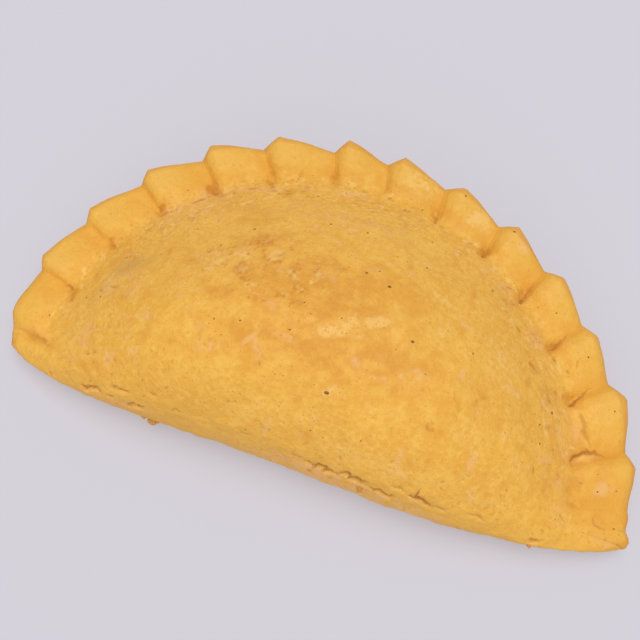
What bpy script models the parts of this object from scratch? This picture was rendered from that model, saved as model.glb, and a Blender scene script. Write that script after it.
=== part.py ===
"""A baked empanada: a half-moon of dough folded over its filling, with a hand-crimped curved edge.

Uncut, it is one solid. The shape is worked out on a plan frame in metres, whose origin is the middle
of the straight line between the two tips: +X runs along the fold to the right tip, +Y from the fold
to the crimp, and +Z up from the flat base. It is then moved so that the origin lies under the middle.

The top and the base are two height rules over one plan. They meet at the outline, half-way up the
dough's edge. Both rules are built from three distances: in from the fold, in from the crimped edge,
and in from the root, which is the line where the crimp ends and the filled dome begins.
"""

import math

import bmesh
import bpy
from mathutils import Vector

MM = 0.001

# The crimped edge seen from above: its low ends lie on a lopsided circle about the plan origin.
CRIMP_RADIUS = 73.7 * MM
CRIMP_SHIFT = 1.2 * MM  # the circle sits this far towards the left tip
CRIMP_STRETCH = 1.2 * MM  # and is this much longer, and shallower, than round
CRIMP_SKEW = 1.7 * MM  # its left shoulder is fuller than its right one
TIP_TUCK = 1.8 * MM  # the left tip is rounded back by this much
TIP_TUCK_FROM = 172.0  # degrees

# Finger pleats from the left tip to the right one: width in degrees, and how far the corner reaches out.
# The last two are the crease across the end of the last flap and the nub at the right tip.
FIRST_SEAM = 176.8
PLEATS = (
    (11.4, 0.9 * MM),
    (11.7, 2.0 * MM),
    (12.4, 2.2 * MM),
    (12.4, 2.3 * MM),
    (12.0, 3.0 * MM),
    (13.9, 3.2 * MM),
    (10.8, 3.6 * MM),
    (12.4, 3.1 * MM),
    (13.1, 2.8 * MM),
    (12.6, 3.3 * MM),
    (12.7, 2.9 * MM),
    (12.0, 2.2 * MM),
    (12.9, 3.1 * MM),
    (10.2, 2.1 * MM),
    (3.6, 0.3 * MM),
    (5.0, 1.2 * MM),
)
CREST_AT = 0.26  # the share of a pleat's width at which its raised corner stands
PLEAT_LIFT = 2.3 * MM  # height of the corner over the pleat's low end
FULL_REACH = 2.0 * MM  # a corner that reaches out less than this is raised less too
PLEAT_FALL = 1.15  # how the pleat falls away behind its corner: 1 is straight
LIFT_FADE = 0.45  # the lift dies out over this share of the rim, next to the root
UNDER_LIFT = 0.45  # share of the lift that the underside follows
SEAM_LEAN = 1.3  # degrees that a seam turns towards the right tip on its way in, on average
HOLLOW_DEPTH = 1.6 * MM  # pinched hollow at the inner end of each seam
HOLLOW_WIDTH = 1.9 * MM
HOLLOW_LENGTH = 2.6 * MM
HOLLOW_AT = 0.9 * MM  # outside the root

# The root line and the folded front edge.
ROOT_RADIUS = 62.6 * MM
ROOT_SHIFT = 3.0 * MM
LEFT_TIP = -74.4 * MM
RIGHT_TIP = 74.3 * MM
FOLD_BULGE = 6.3 * MM  # how far the fold stands out in front of the line between the tips
FOLD_SQUARENESS = 6.0
BELLY_BULGE = 1.6 * MM  # a fuller stretch of the fold, right of its middle
BELLY_AT = 27 * MM
BELLY_SPREAD = 26 * MM

# Heights.
RIM_UNDER = 1.8 * MM
RIM_MIDDLE = 4.8 * MM
RIM_TOP = 7.8 * MM
FOLD_MIDDLE = 8.6 * MM  # where the fold stands out furthest
FOLD_MIDDLE_RUN = 20 * MM  # how far in from the fold that height falls back to the rim's
TIP_SHARPNESS = 4  # how late along the fold its roundness gives way to the flat tips
EDGE_ROUND = 3.2 * MM  # how far in the dough's edge rounds over, at the rim
FOLD_ROUND = 6.5 * MM  # and at the middle of the fold
DOME_RISE = 26.0 * MM  # the filled dome above the rim
FOLD_RUN = 34 * MM  # how far in from the fold the dome reaches its full height
FOLD_FULLNESS = 2.0
ROOT_RUN = 54 * MM  # the same, from the root
ROOT_FULLNESS = 2.1
ROOT_FILLET = 3.4 * MM  # over about this width the dome grows out of the rim
UNDERCUT_FROM = -3.0 * MM  # from here, measured in from the root, the base comes down to the table
UNDERCUT_RUN = 9.0 * MM

# Where the filling pushes the crust up or lets it sink: x, y, spread, height.
LUMPS = (
    (-4 * MM, 24 * MM, 22 * MM, 0.8 * MM),
    (-36 * MM, 11 * MM, 14 * MM, 0.7 * MM),
    (31 * MM, 12 * MM, 14 * MM, 0.8 * MM),
    (-31 * MM, 40 * MM, 9 * MM, -1.4 * MM),
    (3 * MM, 47 * MM, 11 * MM, 1.2 * MM),
    (14 * MM, 34 * MM, 9 * MM, 0.7 * MM),
    (39 * MM, 35 * MM, 9 * MM, 0.9 * MM),
)

# The mesh: columns run round the outline, rows from the outline in to the middle of the plan.
PLAN_MIDDLE = (-1.0 * MM, 23.0 * MM)
TIP_COLUMN = 178.6  # degrees: one column between the left tip and the first seam
PLEAT_COLUMNS = (0.0, 0.13, CREST_AT, 0.42, 0.62, 0.82)
NARROW_PLEAT = 6.0  # degrees: a pleat narrower than this has only its seam and its corner as columns
FOLD_COLUMNS = 40
FOLD_RIM = 14 * MM  # width of the border rows at the middle of the fold
FOLD_RIM_POWER = 3  # how late those rows narrow towards the tips
BORDER_ROWS = (0.018, 0.06, 0.13, 0.22, 0.34, 0.48, 0.62, 0.76, 0.89, 1.0)
INNER_ROWS = (0.08, 0.18, 0.3, 0.43, 0.56, 0.69, 0.81, 0.91)
BASE_BORDER_ROWS = (0.03, 0.09, 0.18, 0.3, 0.6, 1.0)
BASE_INNER_ROWS = (0.05, 0.1, 0.17, 0.4, 0.7)
SHARP_ANGLE = 50.0  # degrees
TOLERANCE = 1e-9

CRUST_COLOUR = (0.80, 0.43, 0.085, 1.0)


def ease(share):
    """0 to 1 with a level start and end."""
    share = min(max(share, 0.0), 1.0)
    return share * share * (3 - 2 * share)


def quarter_round(share):
    """0 to 1 as a quarter circle does: upright at the start, level at the end."""
    share = min(max(share, 0.0), 1.0)
    return math.sqrt(1 - (1 - share) ** 2)


def bell(distance, width):
    return math.exp(-((distance / width) ** 2))


def seam_angles():
    """The seams between pleats, from the left tip to the right one, in degrees at the outline."""
    angles = [FIRST_SEAM]
    for width, _ in PLEATS:
        angles.append(angles[-1] - width)
    return angles


SEAMS = seam_angles()


def pleat_at(angle):
    """The pleat at an outline angle, and how far across it that is, from 0 to 1; None outside them all."""
    for index, (width, _) in enumerate(PLEATS):
        across = (SEAMS[index] - angle) / width
        if -TOLERANCE <= across <= 1 + TOLERANCE:
            return index, min(max(across, 0.0), 1.0)
    return None


def crest_profile(across):
    """Height over a pleat's width: a quick rise to the corner, then a long fall to the next seam."""
    if across < CREST_AT:
        return ease(across / CREST_AT)
    return (1 - (across - CREST_AT) / (1 - CREST_AT)) ** PLEAT_FALL


def crimp_radius(angle):
    """Distance of the crimped outline from the plan origin, at an angle in degrees from +X."""
    angle = min(max(angle, 0.0), 180.0)
    turn = math.radians(angle)
    even = (
        CRIMP_RADIUS
        - CRIMP_SHIFT * math.cos(turn)
        + CRIMP_STRETCH * math.cos(2 * turn)
        - CRIMP_SKEW * math.sin(2 * turn)
        - TIP_TUCK * ease((angle - TIP_TUCK_FROM) / (180 - TIP_TUCK_FROM))
    )
    found = pleat_at(angle)
    if found is None:
        return even
    index, across = found
    return even + PLEATS[index][1] * crest_profile(across)


def root_radius(angle):
    return ROOT_RADIUS - ROOT_SHIFT * math.cos(math.radians(min(max(angle, 0.0), 180.0)))


def seam_lean(angle):
    """Degrees that the seam nearest this angle has turned by the time it reaches the root."""
    return SEAM_LEAN * (1 + math.cos(math.radians(angle)))


def along_fold(x):
    """-1 at the left tip, 1 at the right tip."""
    middle, half = (LEFT_TIP + RIGHT_TIP) / 2, (RIGHT_TIP - LEFT_TIP) / 2
    return min(max((x - middle) / half, -1.0), 1.0)


def fold_line(x):
    """The y of the fold's outermost line."""
    swell = 1 - abs(along_fold(x)) ** FOLD_SQUARENESS
    return -swell * (FOLD_BULGE + BELLY_BULGE * bell(x - BELLY_AT, BELLY_SPREAD))


def polar(x, y):
    return math.hypot(x, y), math.degrees(math.atan2(y, x))


def distances(x, y):
    """In from the fold, in from the crimped edge, in from the root, and the angle on the plan."""
    radius, angle = polar(x, y)
    angle = angle if y >= 0 else (0.0 if x > 0 else 180.0)
    return y - fold_line(x), crimp_radius(angle) - radius, root_radius(angle) - radius, angle


def pleat_strength(index):
    """How fully a pleat is raised and pinched, from 0 to 1."""
    return min(1.0, PLEATS[min(index, len(PLEATS) - 1)][1] / FULL_REACH)


def seam_pinch(seam):
    """Depth of the hollow at a seam's inner end. The first seam is at the left tip and has none."""
    return HOLLOW_DEPTH * pleat_strength(seam) if seam > 0 else 0.0


def pleat_lift(from_crimp, from_root, angle):
    """Height that the pleats add to the rim: corners up, and a hollow where a seam meets the root."""
    rim_width = crimp_radius(angle) - root_radius(angle)
    out = min(max(-from_root / rim_width, 0.0), 1.0)
    outline_angle = angle + seam_lean(angle) * (1 - out)
    found = pleat_at(outline_angle)
    if found is None:
        return 0.0
    index, across = found
    lift = PLEAT_LIFT * pleat_strength(index) * crest_profile(across) * ease(out / LIFT_FADE)
    radius = crimp_radius(angle) - from_crimp
    to_seam = min(across, 1 - across) * math.radians(PLEATS[index][0]) * radius
    nearest_seam = index if across < 0.5 else index + 1
    hollow = bell(to_seam, HOLLOW_WIDTH) * bell(from_root + HOLLOW_AT, HOLLOW_LENGTH)
    return lift - seam_pinch(nearest_seam) * hollow


def fold_roundness(x):
    """1 over most of the fold, falling to 0 at the tips."""
    return 1 - along_fold(x) ** TIP_SHARPNESS


def edge_middle(x, from_fold):
    """Height of the line at which the top and the base meet: higher along the fold than round the rim."""
    fold_share = fold_roundness(x) * (1 - ease(from_fold / FOLD_MIDDLE_RUN))
    return RIM_MIDDLE + (FOLD_MIDDLE - RIM_MIDDLE) * fold_share


def edge_rounding(x, from_fold, from_crimp):
    """0 at the outline to 1 where the dough's edge has rounded over."""
    fold_round = EDGE_ROUND + (FOLD_ROUND - EDGE_ROUND) * fold_roundness(x)
    return quarter_round(from_fold / fold_round) * quarter_round(from_crimp / EDGE_ROUND)


def softened(distance, width):
    """The distance itself where it is well over 0, fading smoothly to 0 where it is under."""
    return (distance + math.hypot(distance, width)) / 2


def crowned(distance, run, fullness):
    """0 to 1 over a run, steep at first and level at the end."""
    return 1 - (1 - min(max(distance / run, 0.0), 1.0)) ** fullness


def lumps(x, y):
    """Unevenness of the filling under the crust."""
    return sum(height * bell(math.hypot(x - at_x, y - at_y), spread) for at_x, at_y, spread, height in LUMPS)


def top_height(x, y):
    from_fold, from_crimp, from_root, angle = distances(x, y)
    middle = edge_middle(x, from_fold)
    rim = RIM_TOP + pleat_lift(from_crimp, from_root, angle)
    behind_fold = math.sqrt(crowned(from_fold, FOLD_RUN, FOLD_FULLNESS))
    filled = behind_fold * crowned(softened(from_root, ROOT_FILLET), ROOT_RUN, ROOT_FULLNESS)
    dome = (DOME_RISE + lumps(x, y)) * filled * quarter_round(from_crimp / EDGE_ROUND)
    return middle + (rim - middle) * edge_rounding(x, from_fold, from_crimp) + dome


def base_height(x, y):
    from_fold, from_crimp, from_root, angle = distances(x, y)
    lifted = RIM_UNDER + UNDER_LIFT * max(pleat_lift(from_crimp, from_root, angle), 0.0)
    on_table = ease((from_root - UNDERCUT_FROM) / UNDERCUT_RUN)
    middle = edge_middle(x, from_fold)
    return middle + (lifted * (1 - on_table) - middle) * edge_rounding(x, from_fold, from_crimp)


def crimp_columns():
    """(outline point, border point) pairs over the crimp, from the left tip to the right one."""
    angles = [180.0, TIP_COLUMN]
    for index, (width, _) in enumerate(PLEATS):
        shares = PLEAT_COLUMNS if width > NARROW_PLEAT else (0.0, CREST_AT)
        angles += [SEAMS[index] - share * width for share in shares]
    pairs = []
    for angle in angles:
        outer, inner = math.radians(angle), math.radians(angle - seam_lean(angle))
        reach, root = crimp_radius(angle), root_radius(angle)
        outline = (reach * math.cos(outer), reach * math.sin(outer))
        pairs.append((outline, (root * math.cos(inner), root * math.sin(inner))))
    return pairs


def fold_columns():
    """The same over the fold, from the right tip to just before the left one, closer near the tips."""
    pairs = []
    for step in range(FOLD_COLUMNS):
        turn = math.pi * step / FOLD_COLUMNS
        share = (math.cos(turn) + 1 - 2 * turn / math.pi) / 2
        x = (LEFT_TIP + RIGHT_TIP) / 2 + share * (RIGHT_TIP - LEFT_TIP) / 2
        y = fold_line(x)
        border_x = share * root_radius(0 if x > 0 else 180)
        pairs.append(((x, y), (border_x, y + FOLD_RIM * (1 - abs(share) ** FOLD_RIM_POWER))))
    return pairs


def plan_point(pair, row):
    """Row 0 is the outline, 1 the border's inner line and 2 the middle of the plan."""
    outline, border = Vector(pair[0]), Vector(pair[1])
    if row <= 1:
        return outline.lerp(border, row)
    return border.lerp(Vector(PLAN_MIDDLE), row - 1)


def add_ring(mesh, pairs, row, height):
    ring = []
    for pair in pairs:
        x, y = plan_point(pair, row)
        ring.append(mesh.verts.new((x, y, height(x, y))))
    return ring


def bridge(mesh, outer, inner):
    count = len(outer)
    for i in range(count):
        j = (i + 1) % count
        mesh.faces.new((outer[i], outer[j], inner[j], inner[i]))


def add_side(mesh, pairs, outline, border_rows, inner_rows, height):
    """Rings from the shared outline in to a pole at the middle of the plan."""
    outer = outline
    for row in [*border_rows, *(1 + share for share in inner_rows)]:
        inner = add_ring(mesh, pairs, row, height)
        bridge(mesh, outer, inner)
        outer = inner
    pole = mesh.verts.new((*PLAN_MIDDLE, height(*PLAN_MIDDLE)))
    for i, vertex in enumerate(outer):
        mesh.faces.new((vertex, outer[(i + 1) % len(outer)], pole))


def pastry_mesh():
    pairs = crimp_columns() + fold_columns()
    mesh = bmesh.new()
    outline = add_ring(mesh, pairs, 0, lambda x, y: edge_middle(x, y - fold_line(x)))
    add_side(mesh, pairs, outline, BORDER_ROWS, INNER_ROWS, top_height)
    add_side(mesh, pairs, outline, BASE_BORDER_ROWS, BASE_INNER_ROWS, base_height)
    bmesh.ops.recalc_face_normals(mesh, faces=mesh.faces)
    bmesh.ops.triangulate(mesh, faces=[f for f in mesh.faces if len(f.verts) > 3])
    lows = [min(v.co[axis] for v in mesh.verts) for axis in range(3)]
    highs = [max(v.co[axis] for v in mesh.verts) for axis in range(3)]
    under_middle = Vector(((lows[0] + highs[0]) / 2, (lows[1] + highs[1]) / 2, lows[2]))
    bmesh.ops.translate(mesh, verts=mesh.verts, vec=-under_middle)
    data = bpy.data.meshes.new("pastry")
    mesh.to_mesh(data)
    mesh.free()
    return data


def crust_material():
    material = bpy.data.materials.new("golden_crust")
    material.use_nodes = True
    surface = material.node_tree.nodes["Principled BSDF"]
    surface.inputs["Base Color"].default_value = CRUST_COLOUR
    surface.inputs["Roughness"].default_value = 0.75
    surface.inputs["Metallic"].default_value = 0.0
    return material


def main():
    for thing in list(bpy.data.objects):
        bpy.data.objects.remove(thing)
    data = pastry_mesh()
    data.shade_smooth()
    data.set_sharp_from_angle(angle=math.radians(SHARP_ANGLE))
    pastry = bpy.data.objects.new("pastry", data)
    data.materials.append(crust_material())
    bpy.context.scene.collection.objects.link(pastry)


main()
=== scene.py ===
# %% [markdown]
# # A baked empanada
#
# An empanada is one disc of dough folded over its filling. Its curved edge is pressed together and
# pleated with a fingertip, and it is then baked until the dome is toasted. This script makes the looks
# of it in that order: plain dough, finger pleats, cracks and creases, the uneven skin, the crust's
# colours, and last what sticks to it, which is meal, bran and crumbs.
#
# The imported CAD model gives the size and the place. It is loaded first, so that everything after it can
# be measured against it.

import math

import bpy
import numpy as np
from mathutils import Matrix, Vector
from mathutils.bvhtree import BVHTree


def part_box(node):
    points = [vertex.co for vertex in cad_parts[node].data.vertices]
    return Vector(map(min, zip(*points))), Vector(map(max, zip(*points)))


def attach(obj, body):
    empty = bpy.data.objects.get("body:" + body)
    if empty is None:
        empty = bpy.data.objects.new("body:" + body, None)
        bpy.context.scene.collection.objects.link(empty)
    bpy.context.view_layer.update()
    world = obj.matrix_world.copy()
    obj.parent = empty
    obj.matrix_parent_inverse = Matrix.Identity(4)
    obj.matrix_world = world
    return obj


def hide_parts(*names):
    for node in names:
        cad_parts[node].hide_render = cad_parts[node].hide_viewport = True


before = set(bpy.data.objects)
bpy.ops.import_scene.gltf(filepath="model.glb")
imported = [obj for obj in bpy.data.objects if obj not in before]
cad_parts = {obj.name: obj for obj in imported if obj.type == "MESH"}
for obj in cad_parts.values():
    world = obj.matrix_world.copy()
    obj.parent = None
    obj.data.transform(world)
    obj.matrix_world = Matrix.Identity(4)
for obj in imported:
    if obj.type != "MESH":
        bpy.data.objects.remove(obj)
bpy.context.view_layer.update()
CAD_LOW, CAD_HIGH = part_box("pastry")
print("CAD model, mm:", [round(1000 * side, 1) for side in CAD_HIGH - CAD_LOW])

# %% [markdown]
# ## The shape of the dough
#
# Seen from above, an empanada is a half-moon. The crimped side is close to part of a circle, and the
# fold is a nearly straight line that stands out a little in front of the tips. A sculpted blob could
# stand in for that, but a rule is easier to change: every height below is worked out from three
# distances, in from the fold, in from the crimped edge, and in from the root, where the flat rim ends
# and the filled dome begins. Lengths in these cells are in millimetres, and the plan's origin is
# half-way between the tips.

# %% The outline's sizes
MM = 0.001

CRIMP_RADIUS = 73.7
CRIMP_SHIFT = 1.2  # the circle sits this far towards the left tip
CRIMP_STRETCH = 1.2  # and is this much longer, and shallower, than round
CRIMP_SKEW = 1.7  # its left shoulder is fuller than its right one
TIP_TUCK = 1.8  # the left tip is rounded back by this much
TIP_TUCK_FROM = 172.0  # degrees
ROOT_RADIUS = 62.6
ROOT_SHIFT = 3.0
LEFT_TIP = -74.4
RIGHT_TIP = 74.3
FOLD_BULGE = 6.3
FOLD_SQUARENESS = 6.0
BELLY_BULGE = 1.6  # a fuller stretch of the fold, right of its middle
BELLY_AT = 27.0
BELLY_SPREAD = 26.0


def ease(share):
    """0 to 1 with a level start and end."""
    share = np.clip(share, 0.0, 1.0)
    return share * share * (3 - 2 * share)


def quarter_round(share):
    """0 to 1 as a quarter circle does: upright at the start, level at the end."""
    return np.sqrt(1 - (1 - np.clip(share, 0.0, 1.0)) ** 2)


def bell(distance, width):
    return np.exp(-((distance / width) ** 2))


def even_radius(angle):
    """The crimped edge before it is pleated: its distance from the plan's origin, at angles in degrees."""
    turn = np.radians(angle)
    circle = CRIMP_RADIUS - CRIMP_SHIFT * np.cos(turn) + CRIMP_STRETCH * np.cos(2 * turn)
    tuck = TIP_TUCK * ease((angle - TIP_TUCK_FROM) / (180 - TIP_TUCK_FROM))
    return circle - CRIMP_SKEW * np.sin(2 * turn) - tuck


def root_radius(angle):
    return ROOT_RADIUS - ROOT_SHIFT * np.cos(np.radians(angle))


def along_fold(x):
    """-1 at the left tip, 1 at the right tip."""
    middle, half = (LEFT_TIP + RIGHT_TIP) / 2, (RIGHT_TIP - LEFT_TIP) / 2
    return np.clip((x - middle) / half, -1.0, 1.0)


def fold_line(x):
    """The y of the fold's outermost line."""
    swell = 1 - np.abs(along_fold(x)) ** FOLD_SQUARENESS
    return -swell * (FOLD_BULGE + BELLY_BULGE * bell(x - BELLY_AT, BELLY_SPREAD))


print("rim width at the top of the arc:", round(float(even_radius(90.0) - root_radius(90.0)), 1), "mm")

# %% [markdown]
# The heights are two rules over that plan: the top, and the base that lies on the tray. They meet
# half-way up the dough's edge. The dome is an ellipse in section behind the fold, so the folded side is
# round and steep, and it runs down gently to the rim on the other side. A few broad lumps show where
# the filling lies under the crust.

# %% The heights
RIM_UNDER = 1.8
RIM_MIDDLE = 4.8
RIM_TOP = 7.8
FOLD_MIDDLE = 8.6  # where the fold stands out furthest
FOLD_MIDDLE_RUN = 20.0  # how far in from the fold that height falls back to the rim's
TIP_SHARPNESS = 4  # how late along the fold its roundness gives way to the flat tips
EDGE_ROUND = 3.2
FOLD_ROUND = 6.5
DOME_RISE = 26.0
FOLD_RUN = 34.0
ROOT_RUN = 54.0
ROOT_FULLNESS = 2.1
ROOT_FILLET = 3.4
UNDERCUT_FROM = -3.0
UNDERCUT_RUN = 9.0
UNDER_LIFT = 0.45  # share of a pleat's lift that the underside follows
LUMPS = (  # x, y, spread, height
    (-4, 24, 22, 0.8),
    (-36, 11, 14, 0.7),
    (31, 12, 14, 0.8),
    (-31, 40, 9, -1.4),
    (3, 47, 11, 1.2),
    (14, 34, 9, 0.7),
    (39, 35, 9, 0.9),
)


def plan_distances(x, y):
    """In from the fold, in from the crimped edge and in from the root."""
    angle = np.degrees(np.arctan2(np.maximum(y, 0.0), x))
    radius = np.hypot(x, y)
    return y - fold_line(x), even_radius(angle) - radius, root_radius(angle) - radius


def fold_roundness(x):
    return 1 - along_fold(x) ** TIP_SHARPNESS


def edge_middle(x, from_fold):
    """Height of the line at which the top and the base meet."""
    fold_share = fold_roundness(x) * (1 - ease(from_fold / FOLD_MIDDLE_RUN))
    return RIM_MIDDLE + (FOLD_MIDDLE - RIM_MIDDLE) * fold_share


def edge_rounding(x, from_fold, from_crimp):
    """0 at the outline to 1 where the dough's edge has rounded over."""
    fold_round = EDGE_ROUND + (FOLD_ROUND - EDGE_ROUND) * fold_roundness(x)
    return quarter_round(from_fold / fold_round) * quarter_round(from_crimp / EDGE_ROUND)


def crowned(distance, run, fullness):
    """0 to 1 over a run, steep at first and level at the end."""
    return 1 - (1 - np.clip(distance / run, 0.0, 1.0)) ** fullness


def top_height(x, y):
    from_fold, from_crimp, from_root = plan_distances(x, y)
    middle = edge_middle(x, from_fold)
    behind_fold = np.sqrt(crowned(from_fold, FOLD_RUN, 2))
    behind_root = crowned((from_root + np.hypot(from_root, ROOT_FILLET)) / 2, ROOT_RUN, ROOT_FULLNESS)
    rise = DOME_RISE + sum(h * bell(np.hypot(x - lx, y - ly), s) for lx, ly, s, h in LUMPS)
    dome = rise * behind_fold * behind_root * quarter_round(from_crimp / EDGE_ROUND)
    return middle + (RIM_TOP - middle) * edge_rounding(x, from_fold, from_crimp) + dome


def base_height(x, y):
    from_fold, from_crimp, from_root = plan_distances(x, y)
    middle = edge_middle(x, from_fold)
    under = RIM_UNDER * (1 - ease((from_root - UNDERCUT_FROM) / UNDERCUT_RUN))
    return middle + (under - middle) * edge_rounding(x, from_fold, from_crimp)


print("top of the dome:", round(float(top_height(np.array(0.0), np.array(24.0))), 1), "mm")

# %% [markdown]
# ## Columns and rows
#
# The crust is one closed mesh. Its columns run in from the outline, and its rows run round it like the
# rings of a contour map, down to a single point in the middle. That lets the columns follow the pleats:
# each finger pleat gets the same number of them, bunched together at its seams, where the surface turns
# sharply. A plain grid would cut across every seam and show steps.

# %% The finger pleats and their columns
FIRST_SEAM = 176.8  # degrees on the plan, counted down from the left tip at 180 to the right tip at 0
PLEATS = (  # width in degrees, how far its corner reaches out, how high it stands, how far across it is
    (11.4, 0.9, 0.50, 0.22),
    (11.7, 2.0, 0.95, 0.20),
    (12.4, 2.2, 0.90, 0.20),
    (12.4, 2.3, 1.05, 0.21),
    (12.0, 3.0, 1.00, 0.22),
    (13.9, 3.2, 1.10, 0.24),
    (10.8, 3.6, 0.95, 0.26),
    (12.4, 3.1, 1.05, 0.25),
    (13.1, 2.8, 0.90, 0.27),
    (12.6, 3.0, 1.00, 0.26),
    (12.7, 2.6, 1.05, 0.27),
    (12.0, 1.7, 0.85, 0.28),
    (12.9, 2.8, 1.00, 0.28),
    (10.2, 1.8, 0.80, 0.28),
    (3.6, 0.3, 0.06, 0.30),
    (5.0, 1.2, 0.22, 0.26),
)
CORNER_PHASE = 0.2  # the pleat's phase runs 0 at its left seam, this at its corner, and 1 at its right seam
SEAM_LEAN = 1.3  # degrees that a seam turns towards the right tip on its way in, on average
COLUMNS = 864  # round the whole outline
TIP_COLUMNS = 8  # between the left tip and the first seam
NARROW_PLEAT = 6.0  # degrees
NARROW_COLUMNS = 10
PLEAT_COLUMNS = 32
BUNCHING = 0.7  # 0 spaces a pleat's columns evenly, and 1 stacks them up at its seams
LAST_COLUMN = 0.2  # degrees before the right tip, so that no sliver is left there
LEAN_FROM = 10.0  # degrees from the right tip at which the lean is complete


def seam_lean(angle):
    """Degrees that a column at this angle has turned by the time it reaches the root."""
    return SEAM_LEAN * (1 + np.cos(np.radians(angle))) * ease(angle / LEAN_FROM)


seams = FIRST_SEAM - np.cumsum([0.0] + [pleat[0] for pleat in PLEATS])
column_angle, column_pleat, column_across = [], [], []
for step in range(TIP_COLUMNS):
    column_angle.append(180 - (180 - FIRST_SEAM) * step / TIP_COLUMNS)
    column_pleat.append(-1)
    column_across.append(0.0)
for index, (width, _, _, corner_at) in enumerate(PLEATS):
    count = PLEAT_COLUMNS if width > NARROW_PLEAT else NARROW_COLUMNS
    for step in range(count):
        across = step / count - BUNCHING * math.sin(2 * math.pi * step / count) / (2 * math.pi)
        if seams[index] - across * width > LAST_COLUMN:
            column_angle.append(seams[index] - across * width)
            column_pleat.append(index)
            column_across.append(float(np.interp(across, (0, corner_at, 1), (0, CORNER_PHASE, 1))))
crimp_count = len(column_angle)
print(len(PLEATS), "pleats,", crimp_count, "columns round the crimp")

# %% [markdown]
# The columns' outer ends lie on the outline. Their inner ends lie on a second, smaller half-moon, the
# border, which runs along the root and a few millimetres behind the fold. Inside the border every
# column heads for the one point in the middle. The corners of the pleats poke out past the outline, and
# the box round them all gives the place of the CAD model's origin.

# %% The outline, the border and the point in the middle
POLE = np.array([-1.0, 23.0])
FOLD_BORDER = 7.0  # width of the finely divided strip along the fold
FOLD_BORDER_POWER = 3
RISES_OVER = 2.5  # degrees from the right tip over which the pleats come up


def around(angle, radius):
    """Plan places at angles in degrees, that far from the plan's origin."""
    turn = np.radians(angle)
    return np.stack([radius * np.cos(turn), radius * np.sin(turn)], 1)


angles = np.array(column_angle)
leaned = angles - seam_lean(angles)
crimp_outline = around(angles, even_radius(angles))
crimp_border = around(leaned, root_radius(leaned))

fold_count = COLUMNS - crimp_count
turn = math.pi * np.arange(fold_count) / fold_count
fold_share = (np.cos(turn) + 1 - 2 * turn / math.pi) / 2
fold_x = (LEFT_TIP + RIGHT_TIP) / 2 + fold_share * (RIGHT_TIP - LEFT_TIP) / 2
fold_y = fold_line(fold_x)
border_x = fold_share * np.where(fold_x > 0, root_radius(0.0), root_radius(180.0))
border_y = fold_y + FOLD_BORDER * (1 - np.abs(fold_share) ** FOLD_BORDER_POWER)

outline = np.concatenate([crimp_outline, np.stack([fold_x, fold_y], 1)])
border = np.concatenate([crimp_border, np.stack([border_x, border_y], 1)])
pleat_of = np.concatenate([column_pleat, np.full(fold_count, -1)]).astype(int)
across_of = np.concatenate([column_across, np.zeros(fold_count)])
reach_of = np.array([PLEATS[i][1] if i >= 0 else 0.0 for i in pleat_of])
stands_of = np.array([PLEATS[i][2] if i >= 0 else 0.0 for i in pleat_of])
stands_of[:crimp_count] *= ease(angles / RISES_OVER)

corner = np.interp(across_of, (0, CORNER_PHASE, 1), (0, 1, 0)) * reach_of
pleated = outline * (1 + corner / np.hypot(*outline.T))[:, None]
PLAN_CENTRE = (pleated.min(0) + pleated.max(0)) / 2
print("outline, mm:", np.round(np.ptp(pleated, axis=0), 1), "centred on", np.round(PLAN_CENTRE, 2))

# %% [markdown]
# Rows are packed where the surface bends most: close together up the round edge and in the band along
# the fold where the crust cracks. Further in, each ring is shorter than the last, so every second
# column is dropped whenever the columns would become needlessly close. The faces stay small and even,
# and the whole crust keeps under two hundred thousand triangles.

# %% Where the rows go
BORDER_ROWS = 42
INNER_ROWS = 100
RIM_POWER = 1.25  # rows bunch a little towards the crimped edge
CRACKED_BAND = 1.6  # distance in from the fold of the band that cracks, which gets twice the rows
CRACKED_WIDTH = 2.2
HALVE_AT = (0.72, 0.36, 0.18)  # share of the way out from the middle at which every second column ends
BASE_ROWS = (0.02, 0.06, 0.13, 0.24, 0.4, 0.6, 0.8, 1.0)
BASE_INNER_ROWS = (0.04, 0.08, 0.13, 0.25, 0.5, 0.75)
BASE_HALVE_AT = (0.97, 0.9, 0.6)

depths = np.linspace(0.0, FOLD_BORDER, 400)
heights = top_height(np.zeros_like(depths), fold_line(0.0) + depths)
climb = np.hypot(np.gradient(depths), np.gradient(heights)) * (1 + bell(depths - CRACKED_BAND, CRACKED_WIDTH))
climbed = np.cumsum(climb) - climb[0]
row_steps = np.linspace(0.0, 1.0, BORDER_ROWS + 1)
fold_rows = np.interp(row_steps * climbed[-1], climbed, depths) / FOLD_BORDER
crimp_rows = row_steps**RIM_POWER
print("first rows in from the fold, mm:", np.round(fold_rows[1:5] * FOLD_BORDER, 2))

# %% [markdown]
# Each vertex also carries what it knows about its place, as named attributes: how far across its pleat
# it lies, how far out on the rim, how much it follows a pleat's lift. The node trees and the material
# read these names later, so nothing has to be worked out twice.

# %% Rings of dough
class Dough:
    """Vertices and faces of the crust, added ring by ring from the shared outline."""

    def __init__(self):
        self.places = []
        self.faces = []
        self.known = {name: [] for name in ("across", "rim", "reach", "stands", "lift", "under", "from_root")}

    def add_ring(self, plan, height, facts):
        first = sum(len(p) for p in self.places)
        self.places.append(np.column_stack([plan, height]))
        for name, column in self.known.items():
            column.append(np.broadcast_to(facts[name], len(plan)).astype(float))
        return np.arange(first, first + len(plan))

    def bridge(self, outer, inner, facing_up):
        per = len(outer) // len(inner)
        for i in range(len(inner)):
            strip = [outer[(i * per + k) % len(outer)] for k in range(per + 1)]
            face = [*strip[::-1], inner[i], inner[(i + 1) % len(inner)]]
            self.faces.append(face if facing_up else face[::-1])

    def close(self, ring, pole, facing_up):
        for i in range(len(ring)):
            face = [ring[(i + 1) % len(ring)], ring[i], pole[0]]
            self.faces.append(face if facing_up else face[::-1])


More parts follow.
